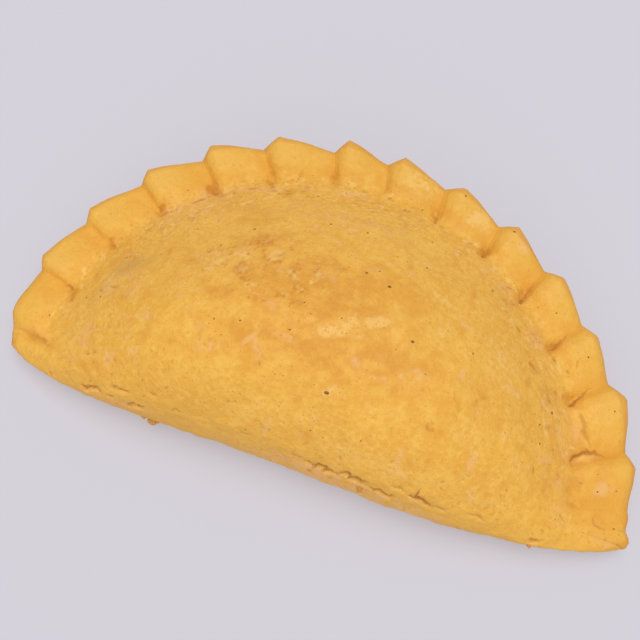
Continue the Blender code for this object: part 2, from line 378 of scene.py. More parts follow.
def ring_facts(plan, columns, rim, lift, under):
    _, _, from_root = plan_distances(plan[:, 0], plan[:, 1])
    return {
        "across": across_of[columns],
        "rim": rim,
        "reach": reach_of[columns] * MM,
        "stands": stands_of[columns],
        "lift": lift,
        "under": under,
        "from_root": from_root * MM,
    }


dough = Dough()
print("each vertex knows:", ", ".join(dough.known))

# %% [markdown]
# The top and the base are built by the same function, from the same outline, so the two meet without a
# gap. Each side first takes the rows of the border, and then the rings that shrink to the middle.

# %% Build the plain dough
def add_side(dough, shared, border_rows, inner_rows, halve_at, height, under):
    """Rings from the shared outline in to the middle, over the top or under the base."""
    columns = np.arange(COLUMNS)
    outer = shared
    is_fold = pleat_of == -1
    inner_steps = [(1 + share, share) for share in inner_rows]
    for row, share in [*((k, None) for k in range(1, len(border_rows[0]))), *inner_steps]:
        halvings = 0 if share is None else sum(1 - share < limit for limit in halve_at)
        columns = np.arange(0, COLUMNS, 2**halvings)
        if share is None:
            shares = np.where(is_fold, border_rows[0][row], border_rows[1][row])[columns, None]
            plan = outline[columns] + (border[columns] - outline[columns]) * shares
            rim = 1 - shares[:, 0]
        else:
            plan = border[columns] + (POLE - border[columns]) * share
            rim = 0.0
        x, y = plan.T
        from_fold, from_crimp, from_root = plan_distances(x, y)
        follows = edge_rounding(x, from_fold, from_crimp)
        if under:
            follows = follows * UNDER_LIFT * (1 - ease((from_root - UNDERCUT_FROM) / UNDERCUT_RUN))
        inner = dough.add_ring(plan, height(x, y), ring_facts(plan, columns, rim, follows, under))
        dough.bridge(outer, inner, facing_up=not under)
        outer = inner
    middle = POLE[None]
    pole = dough.add_ring(middle, height(*middle.T), ring_facts(middle, columns[:1], 0.0, 0.0, under))
    dough.close(outer, pole, facing_up=not under)


edge_heights = edge_middle(outline[:, 0], outline[:, 1] - fold_line(outline[:, 0]))
shared = dough.add_ring(outline, edge_heights, ring_facts(outline, np.arange(COLUMNS), 1.0, 0.0, 0.5))
inner_shares = np.arange(1, INNER_ROWS) / INNER_ROWS
add_side(dough, shared, (fold_rows, crimp_rows), inner_shares, HALVE_AT, top_height, 0.0)
base_rows = np.array([0.0, *BASE_ROWS])
add_side(dough, shared, (base_rows, base_rows), BASE_INNER_ROWS, BASE_HALVE_AT, base_height, 1.0)
print(len(dough.faces), "faces of plain dough")

# %% [markdown]
# The rings become one Blender mesh, in metres and in the CAD model's frame: its origin is on the tray,
# below the middle of the outline's box. The mesh goes into an object that stays at the origin, so the
# place is in the mesh itself. Two more attributes are worked out here, for the pinched hollow at the
# inner end of each seam: how far a vertex lies from the nearest seam, and how hard that seam is pinched.

# %% Make the dough object
HOLLOW_PINCH = (0.0, 0.8, 0.8, 0.8, 1.0, 1.0, 0.7, 0.4, 0.8, 1.0, 1.2, 1.2, 1.1, 1.1, 0.6, 0.3, 0.0)
CRIMP_FROM = 45.0  # seams are looked for outside this radius
NO_SEAM = 50.0  # what a vertex inside it is given as its distance to a seam


def to_frame(plan):
    """Plan millimetres to metres in the CAD model's frame."""
    placed = np.array(plan, dtype=float)
    placed[..., :2] -= PLAN_CENTRE
    return placed * MM


def make_object(name, places, faces=(), facts=None):
    mesh = bpy.data.meshes.new(name)
    mesh.from_pydata([tuple(p) for p in places], [], [[int(v) for v in face] for face in faces])
    for label, values in (facts or {}).items():
        values = np.asarray(values, "f")
        if values.ndim == 2:
            mesh.attributes.new(label, "FLOAT_VECTOR", "POINT").data.foreach_set("vector", values.ravel())
        else:
            mesh.attributes.new(label, "FLOAT", "POINT").data.foreach_set("value", values)
    mesh.update()
    made = bpy.data.objects.new(name, mesh)
    bpy.context.scene.collection.objects.link(made)
    return made


plan_places = np.concatenate(dough.places)
facts = {name: np.concatenate(parts) for name, parts in dough.known.items()}
plan_radius = np.hypot(plan_places[:, 0], plan_places[:, 1])
plan_angle = np.degrees(np.arctan2(np.maximum(plan_places[:, 1], 0.0), plan_places[:, 0]))
lean = seam_lean(plan_angle) * (1 - facts["rim"])
turned = np.clip(seams[0] - (plan_angle + lean), 0.0, seams[0] - seams[-1] - 1e-6)
nearest = np.abs((seams[0] - turned)[:, None] - seams[None, :]).argmin(1)
to_seam = np.radians(np.abs((seams[0] - turned) - seams[nearest])) * plan_radius
on_crimp = (plan_places[:, 1] > 0) & (plan_radius > CRIMP_FROM)
facts["to_seam"] = np.where(on_crimp, to_seam, NO_SEAM) * MM
facts["pinch"] = np.where(on_crimp, np.array(HOLLOW_PINCH)[nearest], 0.0)

crust = make_object("crust", to_frame(plan_places), dough.faces, facts)
bpy.context.view_layer.update()
print("plain dough:", [round(1000 * side, 1) for side in crust.dimensions], "mm")

# %% [markdown]
# ## Small helpers for node trees
#
# Every tree below is written with the same two calls. One makes a tree with named inputs, so that its
# sizes can be changed from the modifier panel. The other adds a node, sets its options, and feeds its
# sockets with numbers or with other nodes' outputs. Reading a tree in code is then close to reading the
# sum that it works out.

# %% Add a node
NODES_PER_ROW = 12
NODE_SPACING = (200, -260)


def lay_out(tree, node):
    """Put a new node in the next free place of the node editor."""
    row, place_in_row = divmod(len(tree.nodes), NODES_PER_ROW)
    node.location = (NODE_SPACING[0] * place_in_row, NODE_SPACING[1] * row)
    return node


def place(tree, kind, *feeds, take=0, named=None, **options):
    """Add a node and return one of its outputs; feeds go to its sockets in order, named ones by name."""
    node = lay_out(tree, tree.nodes.new(kind))
    for option, value in options.items():
        setattr(node, option, value)
    open_sockets = [socket for socket in node.inputs if socket.enabled]
    by_name = {socket.name: socket for socket in reversed(open_sockets)}
    pairs = [*zip(open_sockets, feeds), *((by_name[label], feed) for label, feed in (named or {}).items())]
    for socket, feed in pairs:
        if isinstance(feed, bpy.types.NodeSocket):
            tree.links.new(feed, socket)
        elif feed is not None:
            socket.default_value = feed
    return [socket for socket in node.outputs if socket.enabled][take]


def maths(tree, operation, *feeds, **options):
    return place(tree, "ShaderNodeMath", *feeds, operation=operation, **options)


def total(tree, *feeds):
    result = feeds[0]
    for feed in feeds[1:]:
        result = maths(tree, "ADD", result, feed)
    return result


def product(tree, *feeds):
    result = feeds[0]
    for feed in feeds[1:]:
        result = maths(tree, "MULTIPLY", result, feed)
    return result


def vectors(tree, operation, *feeds, **options):
    return place(tree, "ShaderNodeVectorMath", *feeds, operation=operation, **options)


print("nodes are laid out in rows of", NODES_PER_ROW)

# %% [markdown]
# Three nodes are used so often that each has a helper of its own. A remap turns one range of values
# into another, a curve gives any shape of rise and fall, and noise gives what no rule can: the
# unevenness of hand work and of baking.

# %% Remaps, curves and noise
def remap(tree, value, start, end, low=0.0, high=1.0, smooth=True):
    kind = "SMOOTHSTEP" if smooth else "LINEAR"
    return place(tree, "ShaderNodeMapRange", value, start, end, low, high, interpolation_type=kind)


def curve(tree, value, *points, sharp_at=()):
    """A drawn curve through (input, output) points, smooth except at the sharp ones."""
    node = lay_out(tree, tree.nodes.new("ShaderNodeFloatCurve"))
    drawn = node.mapping.curves[0]
    while len(drawn.points) < len(points):
        drawn.points.new(0.5, 0.5)
    for index, (point, at) in enumerate(zip(drawn.points, points)):
        point.location = at
        point.handle_type = "VECTOR" if index in sharp_at else "AUTO_CLAMPED"
    node.mapping.use_clip = False
    node.mapping.extend = "HORIZONTAL"
    node.mapping.update()
    tree.links.new(value, node.inputs["Value"])
    return node.outputs["Value"]


def noise(tree, vector, size, seed, detail=2.0, roughness=0.5):
    """Smooth noise from about -1 to 1, with bumps of the given size."""
    across = maths(tree, "DIVIDE", 1.0, size)
    feeds = {"Vector": vector, "W": seed, "Scale": across, "Detail": detail, "Roughness": roughness}
    value = place(tree, "ShaderNodeTexNoise", named=feeds, noise_dimensions="4D")
    return remap(tree, value, 0.25, 0.75, -1.0, 1.0, smooth=False)


print("helpers:", ", ".join(helper.__name__ for helper in (place, maths, vectors, remap, curve, noise)))

# %% [markdown]
# A tree begins with its named inputs and ends in two nodes. Realize Instances turns copies into real
# faces, and Set Material gives them their finish. Running it puts it on a piece as a modifier, and keeps
# the result as the piece's own mesh, so nothing is left to work out later.

# %% Start, end and run a tree
SOCKETS = {
    float: "NodeSocketFloat",
    int: "NodeSocketInt",
    tuple: "NodeSocketVector",
    bpy.types.Object: "NodeSocketObject",
    bpy.types.Material: "NodeSocketMaterial",
}


def start_tree(name, inputs):
    """A Geometry Nodes tree with named inputs, and what flows out of them."""
    tree = bpy.data.node_groups.new(name, "GeometryNodeTree")
    tree.interface.new_socket("Geometry", in_out="INPUT", socket_type="NodeSocketGeometry")
    tree.interface.new_socket("Geometry", in_out="OUTPUT", socket_type="NodeSocketGeometry")
    for label, value in inputs.items():
        kind = next(socket for base, socket in SOCKETS.items() if isinstance(value, base))
        tree.interface.new_socket(label, in_out="INPUT", socket_type=kind)
    enters = tree.nodes.new("NodeGroupInput")
    return tree, {socket.name: socket for socket in enters.outputs}


def end_tree(tree, geometry, finish):
    whole = place(tree, "GeometryNodeRealizeInstances", geometry)
    finished = place(tree, "GeometryNodeSetMaterial", named={"Geometry": whole, "Material": finish})
    leaves = tree.nodes.new("NodeGroupOutput")
    tree.links.new(finished, leaves.inputs["Geometry"])


def attribute(tree, name, kind="FLOAT"):
    return place(tree, "GeometryNodeInputNamedAttribute", named={"Name": name}, data_type=kind)


def keep(tree, geometry, name, value):
    feeds = {"Geometry": geometry, "Name": name, "Value": value}
    return place(tree, "GeometryNodeStoreNamedAttribute", named=feeds, data_type="FLOAT", domain="POINT")


def run_tree(piece, tree, inputs):
    """Put the tree on the piece, set its inputs, and turn the result into the piece's own mesh."""
    modifier = piece.modifiers.new(tree.name, "NODES")
    modifier.node_group = tree
    for item in tree.interface.items_tree:
        if item.in_out == "INPUT" and item.name in inputs:
            modifier[item.identifier] = inputs[item.name]
    seen = piece.evaluated_get(bpy.context.evaluated_depsgraph_get())
    made = bpy.data.meshes.new_from_object(seen)
    piece.modifiers.remove(modifier)
    before = piece.data
    piece.data = made
    bpy.data.meshes.remove(before)
    made.name = piece.name
    print(tree.name, "->", len(made.vertices), "vertices,", len(made.polygons), "faces")


toasted_crust = bpy.data.materials.new("toasted_crust")
print(len(SOCKETS), "kinds of input, and an empty material:", toasted_crust.name)

# %% [markdown]
# ## The finger crimp
#
# To seal it, the cook presses the rim with a fingertip, folds a corner of dough over, and moves along.
# Each press leaves a pleat: a sharp step up at its left-hand seam, a raised corner that pokes past the
# edge, and a long slope down into the next seam. The pleats could be sculpted one by one. Here one tree
# makes all of them from how far across its pleat each vertex lies, and two drawn curves say how the
# corner rises and how it reaches out. The step is pushed a little sideways as well, over the seam, so it
# is as steep as a folded layer of dough.

# %% Start the finger crimp tree
PLAN_ORIGIN = tuple(float(part) for part in to_frame((0.0, 0.0, 0.0)))
CRIMP = {
    "Corner lift": 2.3 * MM,
    "Corner overhang": 0.35 * MM,
    "Lift fades in over": 0.45,
    "Hollow depth": 1.2 * MM,
    "Hollow width": 1.6 * MM,
    "Hollow length": 2.4 * MM,
    "Hollow outside root": 0.9 * MM,
    "Unevenness": 0.35 * MM,
    "Unevenness size": 9.0 * MM,
    "Seed": 4.0,
    "Plan origin": PLAN_ORIGIN,
    "Finish": toasted_crust,
}
crimp_tree, enter = start_tree("Finger crimp", CRIMP)
at = place(crimp_tree, "GeometryNodeInputPosition")
across = attribute(crimp_tree, "across")
rim = attribute(crimp_tree, "rim")
follows = attribute(crimp_tree, "lift")
stands = attribute(crimp_tree, "stands")

LIFT_POINTS = ((0, 0), (0.04, 0.2), (0.1, 0.62), (0.19, 1), (0.4, 0.8), (0.7, 0.42), (0.9, 0.12), (1, 0))
REACH_POINTS = ((0, 0), (0.13, 0.62), (0.2, 1.0), (0.28, 0.88), (0.5, 0.63), (0.75, 0.27), (1, 0))
PUSH_POINTS = ((0, 0), (0.05, 0.5), (0.12, 1), (0.3, 0.6), (0.6, 0.15), (1, 0))
lifted = curve(crimp_tree, across, *LIFT_POINTS, sharp_at=(3,))
reached = curve(crimp_tree, across, *REACH_POINTS, sharp_at=(0, 2))
pushed = curve(crimp_tree, across, *PUSH_POINTS)
on_rim = remap(crimp_tree, rim, 0.0, enter["Lift fades in over"])
crest = product(crimp_tree, lifted, stands, on_rim)
print("curves drawn through", [len(points) for points in (LIFT_POINTS, REACH_POINTS, PUSH_POINTS)], "points")

# %% [markdown]
# The curves say how much, and this cell says which way. A corner is lifted straight up, pulled outward
# from the plan's origin, and pushed over its seam towards the left. At the inner end of each seam, where
# the fingertip dug in, the dough is pressed down into a small round hollow.

# %% Move the dough
flat = vectors(crimp_tree, "MULTIPLY", vectors(crimp_tree, "SUBTRACT", at, enter["Plan origin"]), (1, 1, 0))
outward = vectors(crimp_tree, "NORMALIZE", flat)
leftward = vectors(crimp_tree, "CROSS_PRODUCT", (0, 0, 1), outward)

ripples = noise(crimp_tree, at, enter["Unevenness size"], enter["Seed"])
uneven = product(crimp_tree, ripples, enter["Unevenness"], on_rim, follows)
up = total(crimp_tree, product(crimp_tree, crest, enter["Corner lift"], follows), uneven)
out = product(crimp_tree, reached, attribute(crimp_tree, "reach"), rim)
over = product(crimp_tree, pushed, stands, on_rim, enter["Corner overhang"], follows)


def bell_of(tree, distance, width):
    share = maths(tree, "DIVIDE", distance, width)
    return maths(tree, "EXPONENT", product(tree, share, share, -1.0))


along_root = total(crimp_tree, attribute(crimp_tree, "from_root"), enter["Hollow outside root"])
hollow = product(
    crimp_tree,
    bell_of(crimp_tree, attribute(crimp_tree, "to_seam"), enter["Hollow width"]),
    bell_of(crimp_tree, along_root, enter["Hollow length"]),
    attribute(crimp_tree, "pinch"),
    maths(crimp_tree, "SUBTRACT", 1.0, attribute(crimp_tree, "under")),
)
down = product(crimp_tree, hollow, enter["Hollow depth"])
upward = place(crimp_tree, "ShaderNodeCombineXYZ", 0.0, 0.0, maths(crimp_tree, "SUBTRACT", up, down))
moved = vectors(crimp_tree, "ADD", vectors(crimp_tree, "SCALE", outward, named={"Scale": out}), upward)
moved = vectors(crimp_tree, "ADD", moved, vectors(crimp_tree, "SCALE", leftward, named={"Scale": over}))
shaped = place(crimp_tree, "GeometryNodeSetPosition", named={"Geometry": enter["Geometry"], "Offset": moved})
# The crest is kept for the colours: a painted highlight on the high corners, painted shade in the low
# valleys.
shaped = keep(crimp_tree, shaped, "crest", crest)
# The hollow is kept for the material as well, which paints it darker: partly browning, partly painted shade.
shaped = keep(crimp_tree, shaped, "hollow", hollow)
end_tree(crimp_tree, shaped, enter["Finish"])
run_tree(crust, crimp_tree, CRIMP)
print("crimped:", [round(1000 * side, 1) for side in crust.dimensions], "mm")

# %% [markdown]
# ## Creases, wrinkles and cracks
#
# Three kinds of line break the crust. A crease runs in along each seam and ends in a pinched hollow,
# darker partly from browning and partly as painted shade. Short wrinkles lie just inside the root, where
# the dough was pushed together. And the fold, which is stretched most, has opened in a row of shallow
# cracks. Drawing them in the colour alone would look painted on, so each line is a chain of points that a
# tree uses twice: the skin sinks near the points, and the same nearness is kept as a mask for the
# painted shade along the line.

# %% How a line is drawn
LINE_STEP = 0.16  # distance between the points of a line
KNOT_STEP = 0.55  # distance between its bends
rng = np.random.default_rng(7)


def ragged_line(points, half_width, depth, darkness, raggedness, fade_in=0.3, fade_out=0.3):
    """Points every LINE_STEP along a path, shaken sideways, with the line thinning out at its ends."""
    path = np.array(points, dtype=float)
    lengths = np.concatenate([[0.0], np.cumsum(np.hypot(*np.diff(path, axis=0).T))])
    count = max(4, int(lengths[-1] / LINE_STEP))
    steps = np.linspace(0, lengths[-1], count)
    placed = np.stack([np.interp(steps, lengths, path[:, 0]), np.interp(steps, lengths, path[:, 1])], 1)
    knots = np.linspace(0, lengths[-1], max(3, int(lengths[-1] / KNOT_STEP)))
    for side in (0, 1):
        placed[:, side] += np.interp(steps, knots, rng.normal(0, raggedness, len(knots)))
    swell = np.interp(steps, knots, rng.uniform(0.6, 1.15, len(knots)))
    along = steps / steps[-1]
    ends = np.sqrt(np.clip(np.minimum(along / fade_in, (1 - along) / fade_out), 0.05, 1))
    return [(*p, half_width * s * e, depth * s * e, darkness * e) for p, s, e in zip(placed, swell, ends)]


lines = []
print("a point every", LINE_STEP, "mm, and a bend every", KNOT_STEP, "mm")

# %% [markdown]
# The creases at the seams come first. Each runs in along its seam and over the root, and most of them
# differ in where they stop, since no two pleats are pressed alike. A few more are drawn point by point:
# the deep fold between the last two large pleats, the creases at both tips, and a star-shaped break on
# the fold.

# %% Creases at the seams
SEAM_CREASES = (  # seam, how far inside the root it starts and outside it ends, lean, strength
    (0, 1.5, 8.0, -0.5, 0.55),
    (1, -0.5, 3.5, 0.0, 0.5),
    (2, -0.5, 3.0, 1.0, 0.5),
    (3, -2.0, 1.0, 0.5, 0.4),
    (4, 0.0, 4.0, 0.0, 0.55),
    (5, 2.5, 2.5, 0.0, 0.5),
    (6, -1.5, 5.5, 0.0, 0.35),
    (7, -2.0, 5.0, 0.5, 0.2),
    (8, 1.5, 3.5, 0.5, 0.6),
    (9, 0.5, 3.5, 0.5, 0.5),
    (10, 1.5, 5.5, 1.0, 0.75),
    (11, 0.5, 6.5, 0.5, 0.65),
    (12, 0.0, 6.5, 1.5, 0.8),
)
SEAM_CREASE_HALF_WIDTH = 0.65
SEAM_CREASE_DEPTH = 0.4
RIM_WIDTH = 9.0  # over which a seam's lean is lost again, outside the root
DRAWN_CREASES = (  # half width, depth, strength, and the places that it passes
    (0.6, 0.4, 0.9, ((57.0, 14.0), (58.0, 15.5), (60.0, 17.0), (62.0, 18.0), (65.0, 17.5))),
    (0.7, 0.3, 0.45, ((56.5, 25.5), (58.5, 23.5), (58.5, 21.5), (60.5, 19.5), (61.5, 18.0))),
    (0.35, 0.2, 0.4, ((65.0, 4.0), (66.0, 2.5), (68.5, 2.0))),
    (0.5, 0.35, 0.3, ((-63.0, 2.0), (-65.5, 2.5), (-68.5, 3.0), (-72.5, 4.0))),
    (0.45, 0.3, 0.35, ((57.5, 2.5), (58.5, 1.5), (59.5, 1.0))),
    (0.42, 0.45, 0.95, ((24.5, -5.0), (26.0, -5.0), (26.5, -3.0))),
    (0.5, 0.45, 0.95, ((25.5, -5.0), (27.5, -5.0), (29.0, -5.5), (30.5, -6.0))),
)

for seam, inner, outer, bend, strength in SEAM_CREASES:
    path = []
    for share in np.linspace(0, 1, 8):
        outside = share * (outer + inner) - inner
        angle = seams[seam] - float(seam_lean(seams[seam])) * (1 - max(outside, 0) / RIM_WIDTH)
        radius = float(root_radius(angle)) + outside
        sideways = math.radians(angle) - bend * (1 - share) ** 2 / radius
        path.append((radius * math.cos(sideways), radius * math.sin(sideways)))
    depth = SEAM_CREASE_DEPTH * strength
    lines += ragged_line(path, SEAM_CREASE_HALF_WIDTH, depth, strength, 0.12, fade_in=0.12, fade_out=0.9)

for half_width, depth, strength, path in DRAWN_CREASES:
    lines += ragged_line(path, half_width, depth, strength, 0.08, fade_in=0.15, fade_out=0.5)
print(len(lines), "points along", len(SEAM_CREASES), "seams and", len(DRAWN_CREASES), "drawn creases")

# %% [markdown]
# The fold is where the disc was bent double. Its outer skin is stretched there, and as the steam lifts
# the dome it opens in short, jagged cracks that follow the fold. The wrinkles do the opposite: dough that
# was pushed together stands in little puckers, at the root and on the left end. Each is one row of a
# table, so that it can be moved by hand.

# %% Cracks along the fold, and wrinkles
FOLD_CRACKS = (  # from x, to x, in from the fold, half width, depth
    (-2.0, 1.0, 2.4, 0.2, 0.2),
    (1.5, 9.0, 1.9, 0.5, 0.9),
    (8.5, 15.5, 2.1, 0.55, 1.0),
    (16.0, 22.0, 1.6, 0.42, 0.8),
    (20.0, 24.0, 3.3, 0.25, 0.35),
    (-52.5, -47.0, 1.5, 0.4, 0.75),
    (-44.5, -40.0, 3.2, 0.4, 0.65),
    (-45.5, -44.0, 1.2, 0.3, 0.4),
    (-40.0, -36.5, 1.3, 0.4, 0.75),
    (-37.0, -36.0, 3.4, 0.25, 0.3),
    (-35.0, -33.0, 4.2, 0.25, 0.3),
    (-30.0, -27.0, 2.6, 0.2, 0.2),
    (-14.0, -11.0, 2.8, 0.2, 0.2),
    (30.0, 33.5, 2.2, 0.25, 0.3),
    (38.0, 42.0, 2.8, 0.2, 0.25),
    (52.5, 55.0, 0.9, 0.35, 0.6),
)
WRINKLES = (  # x, y, turn in degrees, length, half width, depth
    (-52.0, 36.0, 25, 2.2, 0.4, 0.35),
    (-43.5, 47.0, 44, 4.4, 0.45, 0.45),
    (-32.0, 54.5, 15, 3.2, 0.45, 0.4),
    (-35.0, 55.5, 35, 1.5, 0.3, 0.2),
    (-3.0, 59.0, 0, 1.2, 0.3, 0.25),
    (5.0, 60.0, 40, 1.5, 0.3, 0.25),
    (-52.0, 18.5, -6, 2.6, 0.35, 0.3),
    (-50.5, 3.0, 10, 1.6, 0.35, 0.3),
    (-46.5, 8.0, 5, 1.8, 0.25, 0.2),
    (48.5, 8.5, -80, 1.8, 0.3, 0.25),
    (45.0, 30.5, 5, 1.8, 0.25, 0.2),
    (52.0, 34.0, -50, 1.3, 0.35, 0.35),
    (53.5, 36.0, -75, 2.5, 0.3, 0.25),
    (8.5, -3.0, -60, 0.9, 0.25, 0.3),
    (3.5, -5.5, -85, 1.0, 0.25, 0.4),
    (14.5, -7.0, -20, 1.8, 0.3, 0.4),
    (-61.0, -3.5, -25, 1.4, 0.4, 0.3),
)


def half_stroke(length, direction):
    """Half of a straight stroke, as a step on the plan, for a direction in degrees."""
    turn = math.radians(direction)
    return 0.5 * length * np.array([math.cos(turn), math.sin(turn)])


for start, end, inward, half_width, depth in FOLD_CRACKS:
    across_crack = np.linspace(start, end, 9)
    path = np.stack([across_crack, fold_line(across_crack) + inward], 1)
    lines += ragged_line(path, 1.1 * half_width, depth, 0.25 + 0.62 * depth, 0.2)

for x, y, direction, length, half_width, depth in WRINKLES:
    half = half_stroke(length, direction)
    bow = np.array([-half[1], half[0]]) * rng.uniform(-0.3, 0.3)
    middle = np.array([x, y])
    path = [middle - half, middle + bow, middle + half]
    lines += ragged_line(path, half_width, depth, 0.15 + 0.9 * depth, 0.14)
print(len(lines), "points, with", len(FOLD_CRACKS), "cracks and", len(WRINKLES), "wrinkles")

# %% [markdown]
# Last come the tiny marks that nobody would place by hand. They are thrown with a fixed seed, so the
# same crust comes out each time: nearly half in the band inside the root, a quarter along the fold, and
# the rest over the left side of the dome.

# %% Stray marks
STRAY_MARKS = 240
ROOT_BAND_SHARE = 0.45

for _ in range(STRAY_MARKS):
    if rng.uniform() < ROOT_BAND_SHARE:
        angle, radius = math.radians(rng.uniform(8, 172)), rng.uniform(50, 62)
        x, y = radius * math.cos(angle), radius * math.sin(angle)
        direction = math.degrees(angle) + 90 + rng.normal(0, 35)
    elif rng.uniform() < 0.5:
        x, y, direction = rng.uniform(-60, 62), rng.uniform(-4.5, 3), rng.normal(0, 25)
    else:
        x, y, direction = rng.uniform(-55, -5), rng.uniform(0, 40), rng.uniform(0, 180)
    half = half_stroke(rng.uniform(0.4, 1.7), direction)
    middle = np.array([x, y])
    half_width, depth, darkness = rng.uniform(0.18, 0.32), rng.uniform(0.08, 0.22), rng.uniform(0.1, 0.5)
    lines += ragged_line([middle - half, middle + half], half_width, depth, darkness, 0.08)
lines = np.array(lines)
print(len(lines), "points in all")

# %% [markdown]
# The points were laid out on the plan, so each is dropped onto the crust from above. Blender keeps a
# tree of a mesh's faces for this, the same one that snapping uses.

# %% Drop points onto the crust
EDGE_HEIGHT = 4.0 * MM  # where a point that misses the crust is put


def drop_onto(piece, plan_points, from_height=0.1):
    """The place below each plan point, in metres, and the direction that the surface faces there."""
    surface = BVHTree.FromObject(piece, bpy.context.evaluated_depsgraph_get())
    landed, facing = [], []
    for x, y in to_frame(np.array(plan_points)[:, :2]):
        place_hit, direction, _, _ = surface.ray_cast(Vector((x, y, from_height)), Vector((0, 0, -1)))
        if place_hit is None:
            place_hit, direction = Vector((x, y, EDGE_HEIGHT)), Vector((0, 0, 1))
        landed.append(tuple(place_hit))
        facing.append(tuple(direction))
    return np.array(landed), np.array(facing)


line_places, line_facing = drop_onto(crust, lines)
ahead = np.roll(line_places, -1, axis=0) - line_places
broken_off = np.linalg.norm(ahead, axis=1) > 4 * LINE_STEP * MM
ahead[broken_off] = np.roll(ahead, 1, axis=0)[broken_off]
sideways = np.cross(ahead, line_facing)
sideways /= np.linalg.norm(sideways, axis=1)[:, None] + 1e-12
line_facts = {
    "half_width": lines[:, 2] * MM,
    "depth": lines[:, 3] * MM,
    "darkness": lines[:, 4],
    "sideways": sideways,
}
line_points = make_object("crease_lines", line_places, facts=line_facts)
lowest, highest = line_places[:, 2].min() / MM, line_places[:, 2].max() / MM
print("the lines lie", round(lowest, 1), "to", round(highest, 1), "mm above the tray")

# %% [markdown]
# A line half a millimetre wide is as narrow as the crust's own faces, and a mask kept on the vertices
# would look like a row of beads. So the mask kept here is a distance with a sign, plus on one side of the
# line and minus on the other. Blender blends it evenly across each face, and the material finds the
# place where it passes through nought, which is the line itself, thin and sharp.

# %% Build the creases tree
CREASES = {"Lines": line_points, "Widened by": 0.3 * MM, "Lip height": 0.1 * MM, "Finish": toasted_crust}
crease_tree, enter = start_tree("Creases and cracks", CREASES)
at = place(crease_tree, "GeometryNodeInputPosition")
facing = place(crease_tree, "GeometryNodeInputNormal")
chain = place(crease_tree, "GeometryNodeObjectInfo", enter["Lines"], take=-1)
closest = place(crease_tree, "GeometryNodeSampleNearest", chain)


def sampled(value, kind="FLOAT"):
    feeds = {"Geometry": chain, "Value": value, "Index": closest}
    return place(crease_tree, "GeometryNodeSampleIndex", named=feeds, data_type=kind)


half_width = sampled(attribute(crease_tree, "half_width"))
darkness = sampled(attribute(crease_tree, "darkness"))
from_line = vectors(crease_tree, "SUBTRACT", at, sampled(at, "FLOAT_VECTOR"))
away = vectors(crease_tree, "LENGTH", from_line, take=-1)
line_side = sampled(attribute(crease_tree, "sideways", "FLOAT_VECTOR"), "FLOAT_VECTOR")
beside = vectors(crease_tree, "DOT_PRODUCT", from_line, line_side, take=-1)
wide = total(crease_tree, half_width, enter["Widened by"])
reach_share = maths(crease_tree, "DIVIDE", maths(crease_tree, "DIVIDE", away, wide), 4.0)
cut = curve(crease_tree, reach_share, (0, 1), (0.12, 0.8), (0.25, 0.32), (0.45, 0.06), (1, 0))
lip = curve(crease_tree, reach_share, (0, 0), (0.22, 0), (0.4, 1), (0.7, 0.3), (1, 0))
deep = product(crease_tree, cut, sampled(attribute(crease_tree, "depth")))
lip_height = product(crease_tree, lip, enter["Lip height"], darkness)
raised = maths(crease_tree, "SUBTRACT", lip_height, deep)
moved = vectors(crease_tree, "SCALE", facing, named={"Scale": raised})
shaped = place(crease_tree, "GeometryNodeSetPosition", named={"Geometry": enter["Geometry"], "Offset": moved})
shaped = keep(crease_tree, shaped, "crack_away", maths(crease_tree, "DIVIDE", away, half_width))
shaped = keep(crease_tree, shaped, "crack_beside", maths(crease_tree, "DIVIDE", beside, half_width))
# The next two say how much painted shade the material lays along a line and in its sunk groove.
shaped = keep(crease_tree, shaped, "crack_dark", darkness)
shaped = keep(crease_tree, shaped, "sunk", product(crease_tree, cut, darkness))
end_tree(crease_tree, shaped, enter["Finish"])
run_tree(crust, crease_tree, CREASES)
bpy.data.objects.remove(line_points)

# %% [markdown]
# ## The baked skin
#
# Baking leaves a skin that is uneven at every size: slow swells where steam lifted the dough, puckers
# of a few millimetres, a fine grain from the meal in it, and here and there a small burst pit. Noise
# of three sizes gives that. A displacement in the material would need far more triangles to show the
# same, and would be lost when the mesh is used elsewhere. The pressed rim is smoother than the dome and
# the fold is rougher, so a "coarse" attribute says how strongly the small sizes act. Whatever would sink
# below the tray is held at the tray.

# %% Say where the skin is coarse
places = np.array([v.co for v in crust.data.vertices]) / MM
plan_x = places[:, 0] + PLAN_CENTRE[0]
plan_y = places[:, 1] + PLAN_CENTRE[1]
from_fold, from_crimp, from_root = plan_distances(plan_x, plan_y)


def fact(name):
    values = np.empty(len(crust.data.vertices), "f")
    crust.data.attributes[name].data.foreach_get("value", values)
    return values


def add_fact(name, values):
    crust.data.attributes.new(name, "FLOAT", "POINT").data.foreach_set("value", np.asarray(values, "f"))


near_fold = 1 - ease((from_fold - 2.0) / 6.0)
root_band = bell(from_root - 4.0, 3.5) * ease((plan_y - 6.0) / 8.0)
on_rim = ease(fact("rim") / 0.3) * ease(plan_y / 5.0)
coarse = 0.65 + 0.7 * near_fold + 0.8 * root_band - 0.35 * on_rim
add_fact("coarse", np.clip(coarse, 0.1, 1.7))
print("coarse skin on", round(100 * float((coarse > 0.9).mean())), "percent of the vertices")

